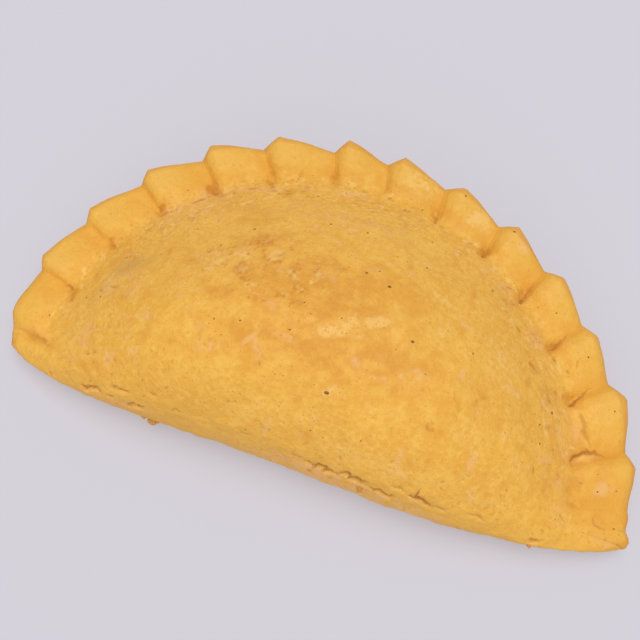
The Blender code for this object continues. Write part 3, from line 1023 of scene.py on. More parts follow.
# %% Build the baked skin tree
SKIN = {
    "Swell height": 0.30 * MM,
    "Swell size": 13.0 * MM,
    "Pucker height": 0.19 * MM,
    "Pucker size": 4.2 * MM,
    "Grain height": 0.10 * MM,
    "Grain size": 1.7 * MM,
    "Pit depth": 0.22 * MM,
    "Pit spacing": 5.0 * MM,
    "Pit radius": 0.45 * MM,
    "Seed": 11.0,
    "Finish": toasted_crust,
}
skin_tree, enter = start_tree("Baked skin", SKIN)
at = place(skin_tree, "GeometryNodeInputPosition")
facing = place(skin_tree, "GeometryNodeInputNormal")
coarse_here = attribute(skin_tree, "coarse")
swell = product(skin_tree, noise(skin_tree, at, enter["Swell size"], enter["Seed"]), enter["Swell height"])
pucker = noise(skin_tree, at, enter["Pucker size"], enter["Seed"], detail=3.0, roughness=0.6)
pucker = product(skin_tree, pucker, enter["Pucker height"], coarse_here)
grain = noise(skin_tree, at, enter["Grain size"], enter["Seed"], detail=2.0, roughness=0.6)
grain = product(skin_tree, grain, enter["Grain height"], coarse_here)

per_metre = maths(skin_tree, "DIVIDE", 1.0, enter["Pit spacing"])
cells = skin_tree.nodes.new("ShaderNodeTexVoronoi")
cells.voronoi_dimensions = "3D"
skin_tree.links.new(at, cells.inputs["Vector"])
skin_tree.links.new(per_metre, cells.inputs["Scale"])
to_pit = product(skin_tree, cells.outputs["Distance"], enter["Pit spacing"])
pit_share = maths(skin_tree, "DIVIDE", to_pit, enter["Pit radius"])
pit = remap(skin_tree, pit_share, 0.0, 1.3, 1.0, 0.0)
pit_depth = product(skin_tree, pit, enter["Pit depth"], coarse_here)

height = maths(skin_tree, "SUBTRACT", total(skin_tree, swell, pucker, grain), pit_depth)
raised = vectors(skin_tree, "ADD", at, vectors(skin_tree, "SCALE", facing, named={"Scale": height}))
parts = skin_tree.nodes.new("ShaderNodeSeparateXYZ")
skin_tree.links.new(raised, parts.inputs[0])
above_tray = maths(skin_tree, "MAXIMUM", parts.outputs[2], 0.0)
held = place(skin_tree, "ShaderNodeCombineXYZ", parts.outputs[0], parts.outputs[1], above_tray)
shaped = place(skin_tree, "GeometryNodeSetPosition", named={"Geometry": enter["Geometry"], "Position": held})
# The pit is kept for the material, which paints the pits darker as painted shade.
shaped = keep(skin_tree, shaped, "pit", pit)
end_tree(skin_tree, shaped, enter["Finish"])
run_tree(crust, skin_tree, SKIN)
crust.data.shade_smooth()
bpy.context.view_layer.update()
print("baked:", [round(1000 * side, 1) for side in crust.dimensions], "mm")

# %% [markdown]
# ## Where the crust has browned
#
# Colour on a baked crust follows its shape. The dome's top, nearest the heat, is toasted. The rim is
# thin, so it goes a clear orange-yellow. Its pleats are deeper orange in their valleys, partly from the
# bake and partly as painted shade, and paler on their corners, which is a painted highlight.
# Flour left from rolling stays as pale smears, and the dough just inside the root, which was stretched
# and handled most, is paler and pinkish. Each of these is a soft oval patch on the plan, kept as an
# attribute, so it can be moved without touching the material. The patches are painted from above, so
# they have to stop before they show through on the base: "tucked" grows from nought at the outline to
# one a few millimetres in, below.

# %% Soft patches, and what is tucked under
BASE_STARTS = 5.0  # how far in from the outline, below it, the colours of the sides end
from_edge = np.minimum(from_fold, from_crimp)
tucked = fact("under") * ease(from_edge / BASE_STARTS)
on_top = 1 - tucked
add_fact("tucked", tucked)


def patches(table):
    """The strongest of a table's soft oval patches at each vertex."""
    strongest = np.zeros(len(plan_x))
    for x, y, length, breadth, direction, strength in table:
        c, s = math.cos(math.radians(direction)), math.sin(math.radians(direction))
        along = ((plan_x - x) * c + (plan_y - y) * s) / (0.5 * length)
        beside = ((plan_y - y) * c - (plan_x - x) * s) / (0.5 * breadth)
        strongest = np.maximum(strongest, strength * bell(np.hypot(along, beside), 1.05))
    return strongest


print("tucked under:", round(100 * float((tucked > 0.5).mean())), "percent of the vertices")

# %% The toasted top
TOAST = (  # x, y, length, breadth, turn in degrees, strength
    (-6, 27, 46, 24, 3, 0.85),
    (-22, 37, 17, 8, 18, 0.75),
    (-8, 35, 22, 9, -8, 0.8),
    (-27, 26, 10, 12, 20, 0.45),
    (-26, 21, 13, 9, -20, 0.75),
    (10, 28, 18, 10, -10, 0.6),
    (14, 14, 22, 8, -15, 0.5),
    (0, 16, 60, 17, 3, 0.8),
    (-27, 45, 34, 10, 18, 0.4),
    (8, 49, 44, 9, -8, 0.3),
    (-40, 3, 22, 5, 5, 0.3),
    (36, 2, 24, 6, -5, 0.3),
    (59, 14, 30, 22, -60, 0.55),
    (66, 3, 16, 10, -40, 0.5),
    (29, 47, 12, 6, -35, 0.3),
)
toast = patches(TOAST)
print("toasted:", round(100 * float((toast > 0.4).mean())), "percent of the vertices")

# %% [markdown]
# Between the patches that can be placed by hand and the grain of the material lie hundreds of small
# streaks, a millimetre or two long. They are what makes a crust look baked and handled, not painted. Dark
# and pale ones are thrown over the left of the toasted top, and over the band inside the root, where
# they lie along the rim. Larger and fainter ones, the mottles, lie all over the dome.

# %% Throw the small streaks
STREAKS = 300  # dark ones, and as many pale ones, on the left of the toasted top
STREAK_SIZE = 0.8
STREAKED = (-19.0, 31.0, 18.0, 9.5)  # its middle, and how far it runs along and across
STREAK_TURN = 25  # degrees
HANDLED = 300  # dark ones, and as many pale ones, in the band inside the root
HANDLED_DEPTH = 9.0
MOTTLES = 150  # toasted ones, and as many pink ones, all over the dome
MOTTLE_SIZE = 2.2  # times as large as a streak
thrower = np.random.default_rng(21)


def over_toast():
    """Places on the left of the toasted top, and the direction that the streaks have there."""
    turn = thrower.uniform(0, 2 * math.pi, STREAKS)
    out = np.sqrt(thrower.uniform(0, 1, STREAKS))
    x = STREAKED[0] + STREAKED[2] * out * np.cos(turn)
    return x, STREAKED[1] + STREAKED[3] * out * np.sin(turn), STREAK_TURN


def in_root_band():
    """Places just inside the root, and the direction of the rim there."""
    angle = thrower.uniform(12, 172, HANDLED)
    radius = root_radius(angle) + 1 - thrower.uniform(0, HANDLED_DEPTH, HANDLED)
    return radius * np.cos(np.radians(angle)), radius * np.sin(np.radians(angle)), angle + 90


def over_dome():
    """Places all over the dome, and the direction that runs round it there."""
    angle = thrower.uniform(2, 178, MOTTLES)
    radius = root_radius(angle) * np.sqrt(thrower.uniform(0, 1, MOTTLES))
    return radius * np.cos(np.radians(angle)), radius * np.sin(np.radians(angle)) - 3, angle + 90


def thrown(middle_x, middle_y, direction, strongest, size=1.0):
    """Small streaks at the given places, of random sizes and strengths."""
    count = len(middle_x)
    length, breadth = size * thrower.uniform(0.8, 3.2, count), size * thrower.uniform(0.5, 1.4, count)
    turned = direction + thrower.normal(0, 35, count)
    strength = strongest * thrower.uniform(0.3, 1, count)
    return np.column_stack([middle_x, middle_y, length, breadth, turned, strength])


dark_streaks = np.concatenate([thrown(*over_toast(), 0.65, STREAK_SIZE), thrown(*in_root_band(), 0.6)])
pale_streaks = np.concatenate([thrown(*in_root_band(), 1.1), thrown(*over_toast(), 0.6, STREAK_SIZE)])
toasted_mottles = thrown(*over_dome(), 0.75, MOTTLE_SIZE)
pink_mottles = thrown(*over_dome(), 0.75, MOTTLE_SIZE)
add_fact("toast", np.maximum(toast, patches(toasted_mottles)) * on_top)
print(len(dark_streaks), "dark streaks,", len(pale_streaks), "pale ones and", 2 * MOTTLES, "mottles")

# %% [markdown]
# Flour sticks where the dough was dusted last, so its smears are short and lie close together. The
# widest ones, at the end of the table, are faint: they only make the dough a little paler.

# %% Flour
FLOUR = (  # rows as in TOAST
    (0.5, 21.0, 10.5, 3.6, 27, 0.8),
    (2.5, 22.5, 4.0, 5.0, 20, 0.7),
    (7.5, 25.0, 9.5, 2.8, 30, 0.7),
    (4.5, 20.5, 5.0, 2.4, -10, 0.45),
    (12.0, 26.5, 4.0, 2.0, 10, 0.45),
    (21.0, 28.0, 3.0, 3.4, 70, 0.8),
    (-29.0, 29.5, 6.0, 4.5, 30, 0.6),
    (39.5, 12.5, 4.5, 3.0, 20, 0.6),
    (12.5, 7.5, 5.5, 3.0, -10, 0.5),
    (17.5, 16.0, 7.0, 4.0, 20, 0.45),
    (-24.3, 31.7, 5.0, 3.5, 20, 0.7),
    (-18.0, 33.6, 4.0, 3.5, 50, 0.75),
    (-17.0, 37.0, 5.0, 3.0, 50, 0.45),
    (-20.5, 24.5, 4.5, 2.2, 35, 0.5),
    (-30.5, 20.5, 3.5, 3.0, 0, 0.45),
    (9.0, 13.5, 7.0, 2.0, -5, 0.35),
    (3.0, 8.5, 9.0, 3.5, 10, 0.4),
    (19.0, 36.5, 9.0, 1.8, -25, 0.6),
    (22.5, 17.5, 5.0, 3.0, 30, 0.35),
    (33.0, 43.0, 8.0, 2.5, -45, 0.6),
    (25.0, 52.0, 12.0, 3.0, -30, 0.55),
    (40.0, 36.0, 5.0, 3.5, -60, 0.4),
    (-13.0, 59.0, 14.0, 3.0, 8, 0.35),
    (44.0, -1.0, 20.0, 3.0, 5, 0.35),
    (14.0, -1.5, 24.0, 3.5, -2, 0.5),
    (35.0, 27.0, 20.0, 12.0, -60, 0.35),
    (33.0, 10.0, 12.0, 7.0, 0, 0.35),
    (7.5, 69.0, 9.0, 8.0, -10, 0.7),
    (22.5, 64.5, 9.0, 7.0, -25, 0.65),
)
add_fact("flour", np.maximum(patches(FLOUR), patches(pale_streaks)) * on_top)
print("floury:", round(100 * float((fact("flour") > 0.4).mean())), "percent of the vertices")

# %% [markdown]
# Stretched dough bakes paler and a little pink. It lies in a band inside the root, on the left end, and
# below the cracks of the fold. Where a hand that had touched the filling held the dough, it is dull and
# greyish instead.

# %% Pink dough and smudges
PINK_FADES_IN = 2.0  # from the outline in, over which pink all but ends on the underside
PINK = (  # rows as in TOAST
    (-43.0, 45.0, 22.0, 8.0, 42, 0.85),
    (-30.0, 54.0, 16.0, 4.0, 20, 0.8),
    (-10.0, 59.0, 24.0, 3.5, 5, 0.7),
    (10.0, 58.5, 20.0, 3.5, -10, 0.6),
    (30.0, 50.0, 18.0, 5.0, -35, 0.8),
    (43.0, 38.0, 14.0, 5.0, -50, 0.7),
    (54.0, 19.0, 18.0, 5.0, -75, 0.8),
    (57.0, 3.0, 10.0, 6.0, -60, 0.5),
    (-52.5, 21.0, 18.0, 8.0, 62, 0.6),
    (-56.0, 5.0, 16.0, 8.0, 75, 0.5),
    (11.0, -6.8, 54.0, 2.6, -3, 0.9),
    (21.5, 64.0, 4.0, 4.0, 0, 0.6),
    (35.0, 60.5, 5.0, 4.0, -60, 0.7),
    (65.5, 10.5, 5.0, 3.0, 30, 0.7),
    (61.0, 13.5, 3.5, 2.5, -20, 0.55),
    (56.5, 21.0, 3.0, 5.5, 10, 0.6),
    (68.0, -0.5, 6.0, 2.5, 0, 0.75),
    (-5.0, 50.0, 64.0, 12.0, 2, 0.4),
    (-38.0, 40.0, 18.0, 9.0, 45, 0.45),
    (-49.5, 46.0, 4.0, 3.0, 40, 0.6),
    (-44.0, -5.0, 26.0, 2.2, 0, 0.6),
)
SMUDGE = (  # dull, greyish places where the hand left a little filling
    (-50.5, 24.5, 10.0, 5.0, 35, 0.9),
    (-56.0, 17.0, 12.0, 4.0, 65, 0.5),
    (-33.0, 49.0, 10.0, 4.0, 35, 0.4),
    (48.0, 27.0, 9.0, 5.0, -60, 0.5),
    (33.0, 44.5, 8.0, 4.0, -45, 0.4),
    (52.0, 9.0, 10.0, 5.0, -80, 0.35),
)
below = fact("under") * ease(from_edge / PINK_FADES_IN)
add_fact("pink", np.maximum(patches(PINK), patches(pink_mottles)) * on_top * (1 - 0.9 * below))
add_fact("smudge", patches(SMUDGE) * on_top)
print("pink:", round(100 * float((fact("pink") > 0.4).mean())), "percent of the vertices")

# %% [markdown]
# The rim's colours come from the pleats themselves. The finger crimp kept how high each vertex was
# raised, so the valleys and the corners are known, and only the deeper orange of the hollows is placed
# one by one.

# %% Orange valleys with painted shade, and painted highlights on the corners
ORANGE = (  # rows as in TOAST
    (-59.5, 21.5, 8.5, 4.0, -50, 0.9),
    (-66.0, 3.4, 8.0, 3.0, 5, 0.6),
    (-55.0, 26.0, 6.0, 4.0, 60, 0.35),
    (62.5, 6.5, 9.0, 6.0, -20, 0.6),
    (66.0, 13.0, 6.0, 5.0, 80, 0.4),
    (27.5, 56.5, 5.0, 4.0, 60, 0.7),
    (38.0, 45.0, 7.0, 4.0, -40, 0.5),
    (46.0, 37.0, 7.0, 4.0, 40, 0.5),
    (55.5, 27.5, 6.0, 4.0, -50, 0.5),
    (-41.5, 52.0, 4.0, 3.5, -60, 0.5),
    (73.0, -0.5, 4.0, 4.0, 0, 0.8),
    (-67.0, 3.0, 11.0, 3.6, -6, 1.1),
    (-68.5, 13.5, 10.0, 8.0, 75, 0.3),
    (-66.5, 26.0, 11.0, 8.0, 60, 0.25),
    (-50.0, 48.5, 10.0, 6.0, 40, 0.2),
)
raised_by = fact("crest")
rim_here = ease(fact("rim") / 0.35) * ease((plan_y - 1.0) / 5.0)
# Low parts of the pleats get deeper orange with painted shade, and high corners get a painted highlight.
valley = rim_here * np.clip(1 - raised_by / 0.75, 0, 1) ** 1.6
ridge = rim_here * np.clip((raised_by - 0.45) / 0.5, 0, 1)
add_fact("valley", np.maximum(valley, patches(ORANGE)) * on_top)
add_fact("ridge", ridge * on_top)
print("deep orange:", round(100 * float((fact("valley") > 0.4).mean())), "percent of the vertices")

# %% [markdown]
# Thin places scorch first: the crust round a burst bubble, the lips of the cracks, the inner ends of
# the seams, and both tips. The very edge of the rim and the foot of the fold stand free of the tray, and
# take on a darker line. The fold's steep wall faces down, away from the light, and is given painted
# shade.

# %% Scorch marks, browned edges, and painted shade on the fold's wall
SCORCH = (  # rows as in TOAST
    (-25.5, 40.5, 2.2, 1.6, 20, 0.7),
    (-8.5, 24.0, 2.6, 1.6, 30, 0.6),
    (-28.5, 5.5, 2.4, 1.2, -20, 0.7),
    (25.0, 16.5, 1.2, 2.4, 0, 0.55),
    (24.0, 8.5, 2.0, 2.2, 0, 0.75),
    (32.5, 17.0, 3.5, 5.0, 0, 0.4),
    (42.5, 29.0, 5.0, 2.5, 10, 0.4),
    (45.0, 30.5, 2.4, 1.4, -30, 0.5),
    (-26.5, 26.5, 10.0, 2.4, 42, 0.5),
    (-10.0, 7.0, 2.2, 1.6, 0, 0.35),
    (-74.0, 0.5, 2.0, 2.0, 0, 1.2),
    (-64.5, 2.5, 3.0, 1.4, -10, 0.6),
    (-60.0, 22.0, 5.0, 1.6, -55, 0.6),
    (-42.5, 51.5, 1.6, 2.4, 20, 0.7),
    (-51.5, 43.0, 2.2, 1.4, 30, 0.75),
    (-60.0, 31.0, 2.2, 1.2, 20, 0.7),
    (-65.0, 17.5, 2.6, 1.4, -30, 0.7),
    (-32.5, 55.0, 4.0, 1.4, 20, 0.5),
    (-27.5, 56.5, 3.0, 1.4, 0, 0.5),
    (-22.0, 60.5, 1.4, 4.0, 0, 0.5),
    (-14.5, 63.0, 1.4, 3.0, 0, 0.4),
    (26.5, 56.5, 2.4, 3.4, 40, 0.6),
    (26.2, -4.8, 2.0, 1.6, 20, 1.0),
    (7.5, -6.3, 1.6, 0.8, 0, 0.6),
    (14.5, -6.8, 2.0, 0.9, 0, 0.7),
    (25.0, -6.6, 1.4, 0.7, 0, 0.7),
    (3.0, -6.2, 1.4, 0.8, 0, 0.5),
    (54.5, -4.6, 2.2, 1.2, 0, 0.8),
    (73.5, 8.5, 1.6, 3.0, 10, 0.6),
)
add_fact("scorch", np.maximum(patches(SCORCH), patches(dark_streaks)) * on_top)

baked_edge = 1 - ease(from_crimp / 1.5)
fold_edge = 0.35 * (1 - ease(from_fold / 0.5))
left_tip = bell(np.hypot(plan_x - LEFT_TIP, plan_y - 0.5), 2.2)
right_tip = bell(np.hypot(plan_x - RIGHT_TIP, plan_y), 2.5)
browned = 0.75 * baked_edge * ease(plan_y / 2.0) + left_tip + 0.6 * right_tip + fold_edge
add_fact("browned", np.clip(browned, 0, 1) * on_top)
# Painted shade: the fold's steep wall, which faces down and away from the light, is painted darker.
fold_wall = (1 - ease((from_fold - 1.0) / 3.5)) * (np.abs(plan_x) < 70)
add_fact("fold_wall", np.clip(fold_wall, 0, 1))
print("scorched:", round(100 * float((fact("scorch") > 0.4).mean())), "percent of the vertices")

# %% [markdown]
# ## Meal, bran and crumbs
#
# Up close the crust is full of small things: grains of meal that stand out of the dough, dark flecks of
# bran and pepper, and crumbs along the fold. They are far smaller than the crust's faces, so they are
# separate little solids. Two trees strew them. The first throws grains over the crust at a density, the
# way flour falls. The second puts a fleck at each point that it is given, so that the large dark ones
# can be placed by hand and the rest by a seeded throw.
#
# Meal clings to rough and floury dough, so it is thickest by the fold, inside the root and on the flour,
# and thin on the pressed rim.

# %% Say where the meal lies
EVERYWHERE = 0.35  # the least share of the full density
KEEP_CLEAR = 0.6  # of the fold's outermost line, so that no grain stands out of the outline

caught = np.clip(0.6 * near_fold + 0.8 * root_band + 0.5 * fact("flour"), 0, 1)
meal_share = (EVERYWHERE + (1 - EVERYWHERE) * caught) * (1 - 0.75 * on_rim)
add_fact("meal", meal_share * on_top * (np.abs(from_fold) > KEEP_CLEAR))
print("meal at", round(100 * float(fact("meal").mean())), "percent of the full density, on average")

# %% Build the meal tree
WHOLE_TURN = 6.28
meal_finish = bpy.data.materials.new("meal_grains")
MEAL = {
    "Grains per square metre": 750000.0,
    "Largest grain": 0.55 * MM,
    "Smallest grain": 0.25 * MM,
    "Sunk in": 0.10 * MM,
    "Seed": 3,
    "Finish": meal_finish,
}
meal_tree, enter = start_tree("Strewn meal", MEAL)
feeds = {
    "Mesh": enter["Geometry"],
    "Density": product(meal_tree, attribute(meal_tree, "meal"), enter["Grains per square metre"]),
    "Seed": enter["Seed"],
}
scatter = meal_tree.nodes.new("GeometryNodeDistributePointsOnFaces")
for label, feed in feeds.items():
    meal_tree.links.new(feed, scatter.inputs[label])
one_grain = place(meal_tree, "GeometryNodeMeshIcoSphere", 0.5, 1)


def random_in(tree, low, high, seed, kind="FLOAT"):
    feeds = {"Min": low, "Max": high, "Seed": seed}
    return place(tree, "FunctionNodeRandomValue", named=feeds, data_type=kind)


spin = random_in(meal_tree, (0.0, 0.0, 0.0), (WHOLE_TURN,) * 3, 1, "FLOAT_VECTOR")
grain_size = random_in(meal_tree, enter["Smallest grain"], enter["Largest grain"], 2)
grain_shape = random_in(meal_tree, (0.7, 0.6, 0.5), (1.2, 1.0, 0.8), 3, "FLOAT_VECTOR")
feeds = {
    "Points": scatter.outputs["Points"],
    "Instance": one_grain,
    "Rotation": spin,
    "Scale": vectors(meal_tree, "SCALE", grain_shape, named={"Scale": grain_size}),
}
strewn = place(meal_tree, "GeometryNodeInstanceOnPoints", named=feeds)
strewn = place(meal_tree, "GeometryNodeRealizeInstances", strewn)
end_tree(meal_tree, strewn, enter["Finish"])


def copy_of(piece, name):
    made = bpy.data.objects.new(name, piece.data.copy())
    bpy.context.scene.collection.objects.link(made)
    made.data.name = name
    return made


meal = copy_of(crust, "meal_grains")
run_tree(meal, meal_tree, MEAL)

# %% [markdown]
# The largest flecks are what the eye finds first, so they are placed one by one. Seventy more, under
# four tenths of a millimetre long, are thrown evenly over the half-moon.

# %% Place the flecks
FLECKS = (  # x, y, length
    (2.0, 8.0, 1.2),
    (7.5, 34.0, 0.95),
    (15.5, 23.5, 0.95),
    (50.0, 22.5, 0.9),
    (2.0, 35.5, 0.8),
    (4.5, 37.0, 0.55),
    (-9.5, 46.5, 0.75),
    (-1.0, 47.0, 0.8),
    (-15.5, 55.5, 0.6),
    (-25.5, 40.0, 0.75),
    (-31.0, 33.5, 0.6),
    (-8.0, 24.0, 0.7),
    (-19.5, 16.5, 0.6),
    (-9.0, 17.5, 0.7),
    (-25.0, 15.5, 0.55),
    (14.0, 43.0, 0.7),
    (28.5, 26.5, 0.75),
    (30.0, 45.5, 0.75),
    (13.5, 52.0, 0.55),
    (5.0, 60.0, 0.6),
    (9.0, 62.0, 0.6),
    (18.0, 68.5, 0.7),
    (31.5, 63.0, 0.75),
    (26.0, 55.0, 1.0),
    (46.0, 46.5, 0.6),
    (55.5, 38.5, 0.6),
    (47.5, 18.5, 0.6),
    (48.5, 14.5, 0.6),
    (64.0, 28.0, 0.6),
    (70.0, 3.0, 0.55),
    (64.5, 9.5, 0.6),
    (68.5, 11.0, 0.5),
    (1.0, 0.5, 0.5),
    (11.5, 1.5, 0.5),
    (-12.5, -3.0, 0.55),
    (44.0, 2.5, 0.6),
    (-54.5, 15.5, 0.6),
    (-58.5, 15.0, 0.5),
    (-47.0, 49.0, 0.5),
    (-66.5, 9.0, 0.55),
)
STRAY_FLECKS = 70
STRAY_REACH = 66.0

stray_angle = np.radians(rng.uniform(2, 178, STRAY_FLECKS))
stray_reach = STRAY_REACH * np.sqrt(rng.uniform(0, 1, STRAY_FLECKS))
stray = np.stack([stray_reach * np.cos(stray_angle), stray_reach * np.sin(stray_angle) - 2], 1)
stray_size = rng.uniform(0.18, 0.38, STRAY_FLECKS)
flecks = np.concatenate([np.array(FLECKS), np.column_stack([stray, stray_size])])
print(len(flecks), "flecks, from", round(float(flecks[:, 2].min()), 2), "to", flecks[:, 2].max(), "mm long")

# %% [markdown]
# Crumbs broke off the fold and stuck to its foot, on the outside, where a point dropped from above would
# miss. So each has a height as well, and is pressed onto the nearest place of the crust.

# %% Place the crumbs
CRUMBS = (  # x, y, height, length
    (-35.0, -7.0, 6.8, 2.3),
    (-33.5, -7.0, 7.2, 1.0),
    (-37.0, -6.5, 7.8, 0.9),
    (-51.5, -4.5, 11.0, 0.7),
    (-43.0, -5.5, 11.0, 0.6),
    (11.5, -7.0, 12.0, 0.7),
    (25.0, -7.5, 11.5, 0.6),
    (53.5, -5.5, 7.5, 1.1),
    (55.5, -5.0, 7.5, 0.6),
    (-60.5, -3.5, 8.0, 0.7),
    (37.0, -6.5, 10.0, 0.5),
)


def press_onto(piece, plan_places):
    """The nearest place on the surface to each of the given ones, and the direction that it faces."""
    surface = BVHTree.FromObject(piece, bpy.context.evaluated_depsgraph_get())
    found = [surface.find_nearest(Vector(at)) for at in to_frame(plan_places)]
    return np.array([tuple(hit[0]) for hit in found]), np.array([tuple(hit[1]) for hit in found])


def point_object(name, landed, facing, sizes, sunk):
    """Points that know their size and the way they face; sunk is the share of its size that each sinks in."""
    sizes = np.array(sizes) * MM
    landed = landed - facing * (sizes * sunk)[:, None]
    facts = {"length": sizes, "facing_x": facing[:, 0], "facing_y": facing[:, 1], "facing_z": facing[:, 2]}
    return make_object(name, landed, facts=facts)


crumb_table = np.array(CRUMBS)
bran = point_object("bran_flecks", *drop_onto(crust, flecks), flecks[:, 2], 0.1)
crumbs = point_object("fold_crumbs", *press_onto(crust, crumb_table[:, :3]), crumb_table[:, 3], -0.1)
print(len(bran.data.vertices), "points for flecks and", len(crumbs.data.vertices), "for crumbs")

# %% [markdown]
# One function builds the tree for both. A round lump is put at each point, laid along the crust, turned
# at random and squashed to its size. Then its surface is pushed in and out by noise, because a smooth
# ball would look like a bead. The crumbs get more faces than the flecks, since they are larger.

# %% Build the tree for flecks and crumbs
def scatter_tree(name, sizes):
    """Instances a lump at each point, laid along the crust, with a random turn and roughened."""
    tree, enter = start_tree(name, sizes)
    lump = place(tree, "GeometryNodeMeshIcoSphere", 0.5, enter["Roundness"])
    normal = place(tree, "ShaderNodeCombineXYZ", *(attribute(tree, f"facing_{axis}") for axis in "xyz"))
    upright = place(tree, "FunctionNodeAlignRotationToVector", named={"Vector": normal}, axis="Z")
    turn = place(tree, "ShaderNodeCombineXYZ", 0.0, 0.0, random_in(tree, 0.0, WHOLE_TURN, enter["Seed"]))
    feeds = {"Rotation": upright, "Rotate By": turn}
    turned = place(tree, "FunctionNodeRotateRotation", named=feeds, rotation_space="LOCAL")
    breadth = random_in(tree, 0.55, 0.9, enter["Seed"])
    shape = place(tree, "ShaderNodeCombineXYZ", 1.0, breadth, enter["Thickness"])
    scale = vectors(tree, "SCALE", shape, named={"Scale": attribute(tree, "length")})
    points = place(tree, "GeometryNodeMeshToPoints", enter["Geometry"])
    feeds = {"Points": points, "Instance": lump, "Rotation": turned, "Scale": scale}
    placed = place(tree, "GeometryNodeInstanceOnPoints", named=feeds)
    solid = place(tree, "GeometryNodeRealizeInstances", placed)
    at = place(tree, "GeometryNodeInputPosition")
    facing = place(tree, "GeometryNodeInputNormal")
    bumps = product(tree, noise(tree, at, enter["Bump size"], enter["Bump seed"]), enter["Bump height"])
    moved = vectors(tree, "SCALE", facing, named={"Scale": bumps})
    rough = place(tree, "GeometryNodeSetPosition", named={"Geometry": solid, "Offset": moved})
    end_tree(tree, rough, enter["Finish"])
    return tree


fleck_finish = bpy.data.materials.new("bran_flecks")
crumb_finish = bpy.data.materials.new("fold_crumbs")
FLECK_SIZES = {
    "Roundness": 2,
    "Thickness": 0.45,
    "Bump size": 0.35 * MM,
    "Bump height": 0.05 * MM,
    "Bump seed": 2.0,
    "Seed": 5,
    "Finish": fleck_finish,
}
CRUMB_SIZES = {
    "Roundness": 4,
    "Thickness": 0.7,
    "Bump size": 0.5 * MM,
    "Bump height": 0.14 * MM,
    "Bump seed": 6.0,
    "Seed": 9,
    "Finish": crumb_finish,
}
run_tree(bran, scatter_tree("Placed flecks", FLECK_SIZES), FLECK_SIZES)
run_tree(crumbs, scatter_tree("Placed crumbs", CRUMB_SIZES), CRUMB_SIZES)
for piece in (meal, bran, crumbs):
    piece.data.shade_smooth()
    piece.data.calc_loop_triangles()
    print(piece.name, len(piece.data.loop_triangles), "triangles")

# %% [markdown]
# ## The finishes
#
# Four materials share two node groups, because the crust, its meal and its crumbs are the same dough.
# The first group, "uneven bake", turns a place on the piece into three patterns: broad patches, fine
# flecks, and a height for the grain. The second, "crust colours", mixes a pale, a golden and a deep
# colour by those patterns. A painted picture would be quicker to look at, but a pattern of places stays
# sharp at any distance and carries over to another crust. The groups give only colours and values; the
# shader itself stays in each material.

# %% Helpers for groups
def tone(red, green, blue):
    """A colour as a screen shows it, 0 to 255, made linear for the shader."""
    linear = []
    for part in (red, green, blue):
        share = part / 255
        linear.append(share / 12.92 if share <= 0.04045 else ((share + 0.055) / 1.055) ** 2.4)
    return (*linear, 1.0)


def start_group(name, inputs, outputs):
    tree = bpy.data.node_groups.new(name, "ShaderNodeTree")
    for label, (kind, value) in inputs.items():
        socket = tree.interface.new_socket(label, in_out="INPUT", socket_type=kind)
        if value is not None:
            socket.default_value = value
    for label, kind in outputs.items():
        tree.interface.new_socket(label, in_out="OUTPUT", socket_type=kind)
    enters = tree.nodes.new("NodeGroupInput")
    leaves = tree.nodes.new("NodeGroupOutput")
    return tree, {socket.name: socket for socket in enters.outputs}, leaves


VALUE, COLOUR, VECTOR = "NodeSocketFloat", "NodeSocketColor", "NodeSocketVector"


def shade_noise(tree, vector, per_metre, detail, roughness, low=0.3, high=0.7):
    feeds = {"Vector": vector, "Scale": per_metre, "Detail": detail, "Roughness": roughness}
    value = place(tree, "ShaderNodeTexNoise", named=feeds)
    return remap(tree, value, low, high)


def blend(tree, share, first, second, mode="MIX"):
    feeds = {"Factor": share, "A": first, "B": second}
    return place(tree, "ShaderNodeMix", named=feeds, data_type="RGBA", blend_type=mode)


print("a golden crust is", [round(part, 3) for part in tone(235, 178, 71)[:3]], "in linear colour")

# %% [markdown]
# Four sizes of noise make the first group, each finer than the last. They are read a little apart, at a
# shifted place, so that they don't line up with each other.

# %% The uneven bake
uneven_bake, enter, leave = start_group(
    "uneven_bake",
    {"Place": (VECTOR, None), "Patches per metre": (VALUE, 120.0), "Flecks per metre": (VALUE, 1100.0)},
    {"Patches": VALUE, "Blotches": VALUE, "Flecks": VALUE, "Grain": VALUE},
)
broad = shade_noise(uneven_bake, enter["Place"], enter["Patches per metre"], 4.0, 0.62)
shifted = vectors(uneven_bake, "ADD", enter["Place"], (0.3, 0.1, 0.2))
blotchy = shade_noise(uneven_bake, shifted, product(uneven_bake, enter["Patches per metre"], 3.3), 3.0, 0.6)
fine = shade_noise(uneven_bake, shifted, enter["Flecks per metre"], 3.0, 0.65, 0.25, 0.75)
finest_scale = product(uneven_bake, enter["Flecks per metre"], 2.1)
finest = shade_noise(uneven_bake, shifted, finest_scale, 2.0, 0.5, 0.2, 0.8)
grain = total(uneven_bake, product(uneven_bake, fine, 0.7), product(uneven_bake, finest, 0.3))
uneven_bake.links.new(broad, leave.inputs["Patches"])
uneven_bake.links.new(blotchy, leave.inputs["Blotches"])
uneven_bake.links.new(fine, leave.inputs["Flecks"])
uneven_bake.links.new(grain, leave.inputs["Grain"])
print(uneven_bake.name, "has", len(uneven_bake.nodes), "nodes")

# %% [markdown]
# The second group starts from golden. Broad patches lean to the deep colour, blotches go both ways, and
# the fine flecks go both ways again, so that no spot has exactly the colour beside it.

